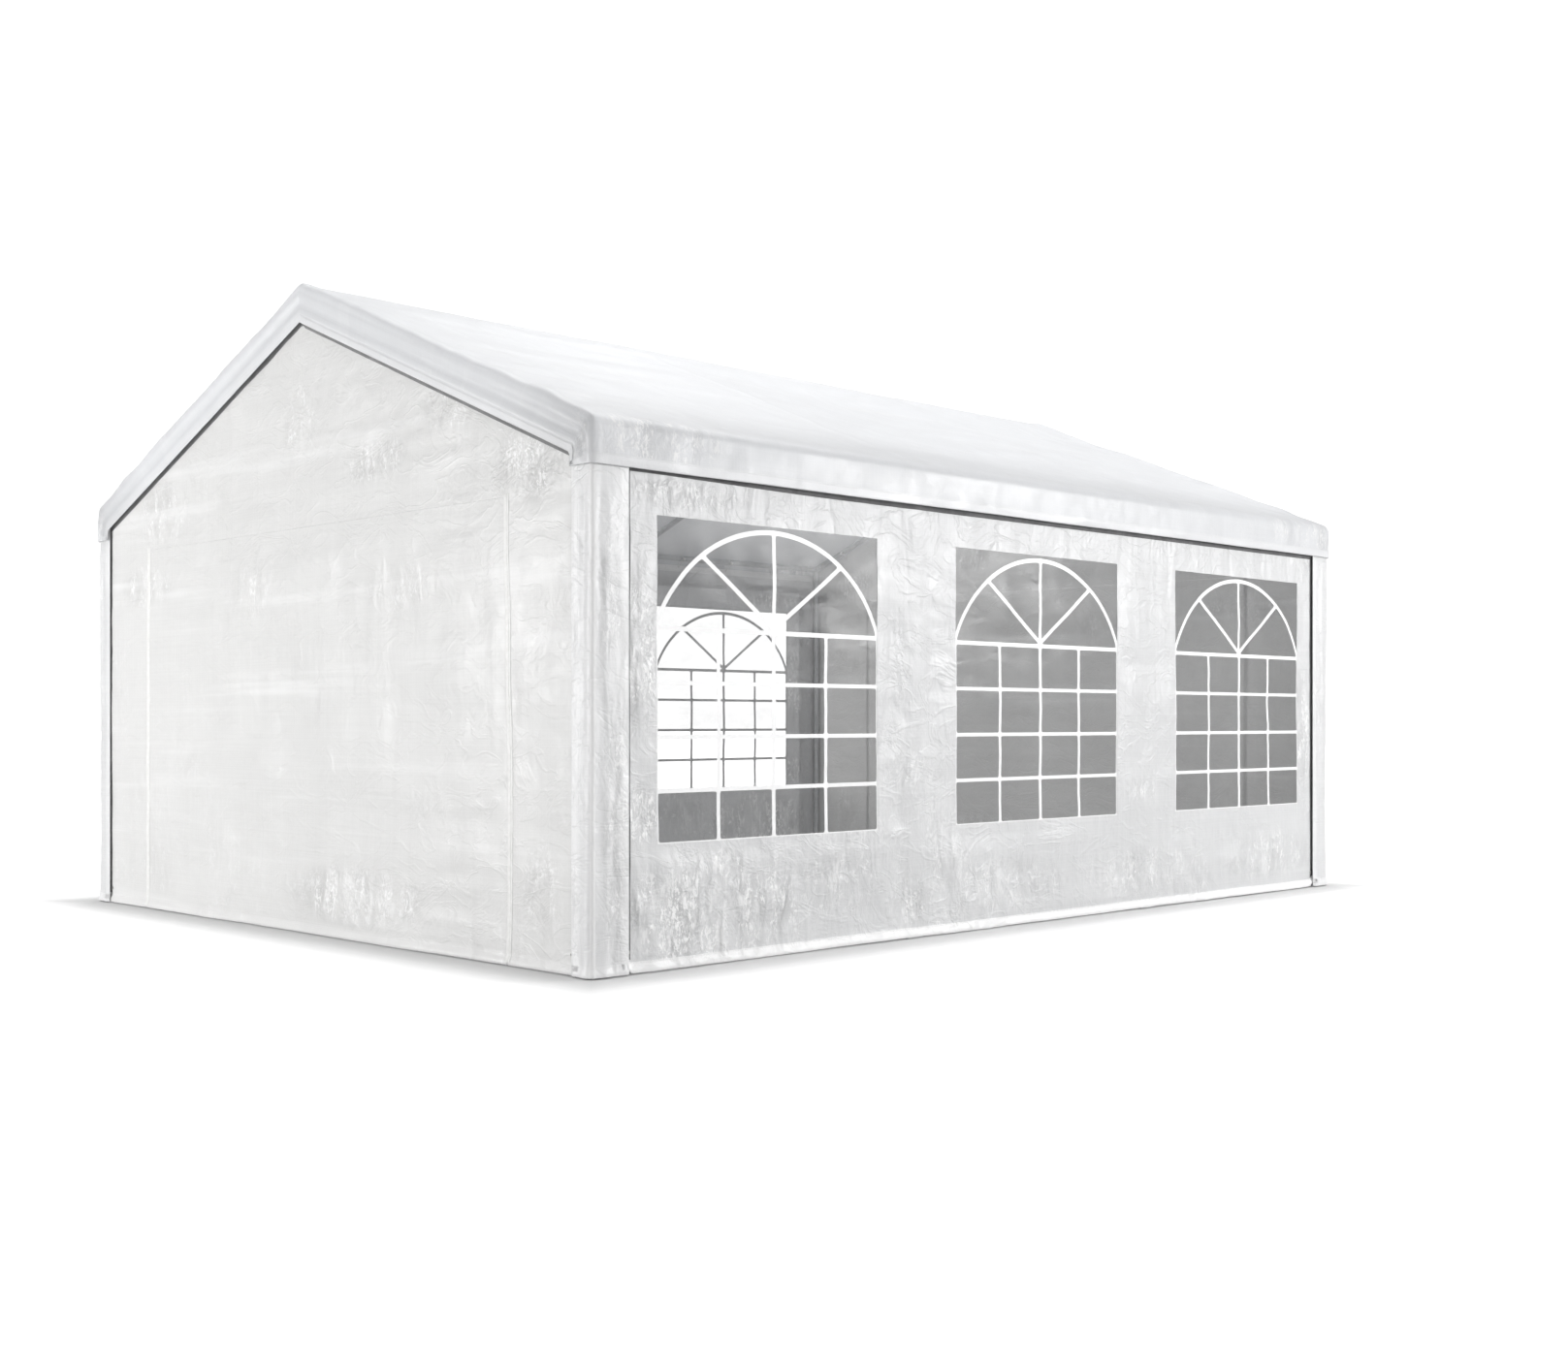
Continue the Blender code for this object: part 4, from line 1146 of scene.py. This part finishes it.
eyelets = Solids()
for turn, (long_seed, gable_seed) in ((1, (300, 400)), (-1, (340, 440))):
    for s in (-1, 1):
        spots = [(long_wall_place(np.array([[s * 2.795]]), np.array([[0.085]]), long_seed, 0.0006)[0, 0], (0, -1, 0)),
                 (gable_place(np.array([[s * 1.860]]), np.array([[0.080]]), gable_seed, 0.0006)[0, 0], (-1, 0, 0))]
        for spot, axis in spots:
            spot, axis = spot * (turn, turn, 1), np.array(axis) * turn
            eyelets.lathe(spot, axis, EYELET, 24, closed=True)
            # A dark disc fills the eyelet's hole: painted shade of the hole.
            eyelets.lathe(spot, axis, [(0, -0.0004), (0.0056, -0.0004), (0.0056, 0.0006), (0, 0.0006)], 16, mat=1)
eyelets.object("wall_eyelets", [BOLT, PAINTED_SHADOW])

# ---------------------------------------------------------------- frame
for name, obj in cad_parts.items():
    if obj.hide_render:
        continue
    for slot in obj.material_slots:
        slot.material = STEEL


# ---------------------------------------------------------------- stage, light and camera
def from_tent(n):
    """How far a point of the floor is outside the tent's plan, in metres."""
    at = n.add("ShaderNodeSeparateXYZ", {0: n.add("ShaderNodeTexCoord").outputs["Object"]}).outputs
    dx = n.math("SUBTRACT", n.math("ABSOLUTE", at[0]), HALF_L)
    dy = n.math("SUBTRACT", n.math("ABSOLUTE", at[1]), HALF_W)
    return n.math("MAXIMUM", dx, dy)


def stage():
    """A pale floor: it reads as white beside the tent; under and near the tent its colour is darker and its glow fades,
    as a painted contact shadow.
    """
    mat, n, out = new_material("floor_pale")
    away = from_tent(n)
    ray = n.add("ShaderNodeLightPath").outputs["Is Camera Ray"]
    # Painted contact shadow: the floor's colour is darker under and near the tent, and its glow for the camera fades
    # there.
    tone = n.ramp(away, -0.25, 0.05, 0.48, 0.74)
    colour = n.add("ShaderNodeCombineColor", {0: tone, 1: tone, 2: tone}).outputs[0]
    glow = n.math("MULTIPLY", ray, n.math("ADD", n.math("MULTIPLY", n.ramp(away, -0.02, 0.45), 0.6), n.math("MULTIPLY", n.ramp(away, 3.0, 14.0), 0.6)))
    shader = n.add(
        "ShaderNodeBsdfPrincipled",
        {"Base Color": colour, "Roughness": 0.85, "Emission Color": (1.0, 1.0, 1.0, 1.0), "Emission Strength": glow},
    ).outputs[0]
    n.tree.links.new(shader, out.inputs[0])
    mesh = bpy.data.meshes.new("floor")
    size = 150.0
    mesh.from_pydata([(-size, -size, 0), (size, -size, 0), (size, size, 0), (-size, size, 0)], [], [(0, 1, 2, 3)])
    mesh.materials.append(mat)
    floor = bpy.data.objects.new("floor", mesh)
    bpy.context.scene.collection.objects.link(floor)


def light(name, place, target, size, power, colour=(1, 1, 1)):
    data = bpy.data.lights.new(name, "AREA")
    data.shape = "RECTANGLE"
    data.size, data.size_y = size
    data.energy = power
    data.color = colour
    obj = bpy.data.objects.new(name, data)
    bpy.context.scene.collection.objects.link(obj)
    obj.location = place
    obj.rotation_mode = "QUATERNION"
    obj.rotation_quaternion = (Vector(target) - Vector(place)).to_track_quat("-Z", "Y")
    obj.visible_camera = False
    return obj


stage()
world = bpy.data.worlds.new("studio")
world.use_nodes = True
world.node_tree.nodes.clear()
w = Nodes(world.node_tree)
direction = w.add("ShaderNodeTexCoord").outputs["Generated"]
up = w.add("ShaderNodeSeparateXYZ", {0: direction}).outputs[2]
sky = w.math("ADD", w.ramp(up, -0.05, 0.8, 0.40, 0.52), 0.0)
lit = w.add("ShaderNodeBackground", {"Color": (1.0, 1.0, 1.0, 1.0), "Strength": sky}).outputs[0]
seen = w.add("ShaderNodeBackground", {"Color": (1.0, 1.0, 1.0, 1.0), "Strength": 1.2}).outputs[0]
ray = w.add("ShaderNodeLightPath").outputs["Is Camera Ray"]
both = w.add("ShaderNodeMixShader", {0: ray, 1: lit, 2: seen}).outputs[0]
world_out = w.add("ShaderNodeOutputWorld")
w.tree.links.new(both, world_out.inputs[0])
bpy.context.scene.world = world

light("top", (1.5, 0, 9), (0, 0, 0), (10, 8), 495)
light("left_box", (-11, 4.5, 1.6), (-3, 0.3, 0.2), (3.5, 2.4), 470)
light("right_box", (8.4, -9.7, 3.3), (0.6, -2, 0.6), (3.5, 2.5), 595)
light("camera_box", (-4.5, -10.5, 4.5), (-2.4, -2, 1.4), (3, 3), 155)
light("back_box", (8, 10, 3.6), (0.5, 0, 1.0), (4, 3), 330)

bpy.context.scene.view_settings.view_transform = "Standard"
camera = bpy.data.cameras.new("camera")
camera.sensor_width = 36.0
camera.lens = 1842.3 / 1617.0 * 36.0
camera.shift_x = (808.5 - 566.0) / 1617.0
camera.shift_y = (744.1 - 705.0) / 1617.0
camera.clip_end = 500.0
eye = bpy.data.objects.new("camera", camera)
bpy.context.scene.collection.objects.link(eye)
eye.location = (-7.5693, -6.9720, 0.9819)
eye.rotation_mode = "QUATERNION"
eye.rotation_quaternion = Vector((0.6585, 0.7526, 0.0)).to_track_quat("-Z", "Y")
bpy.context.scene.camera = eye
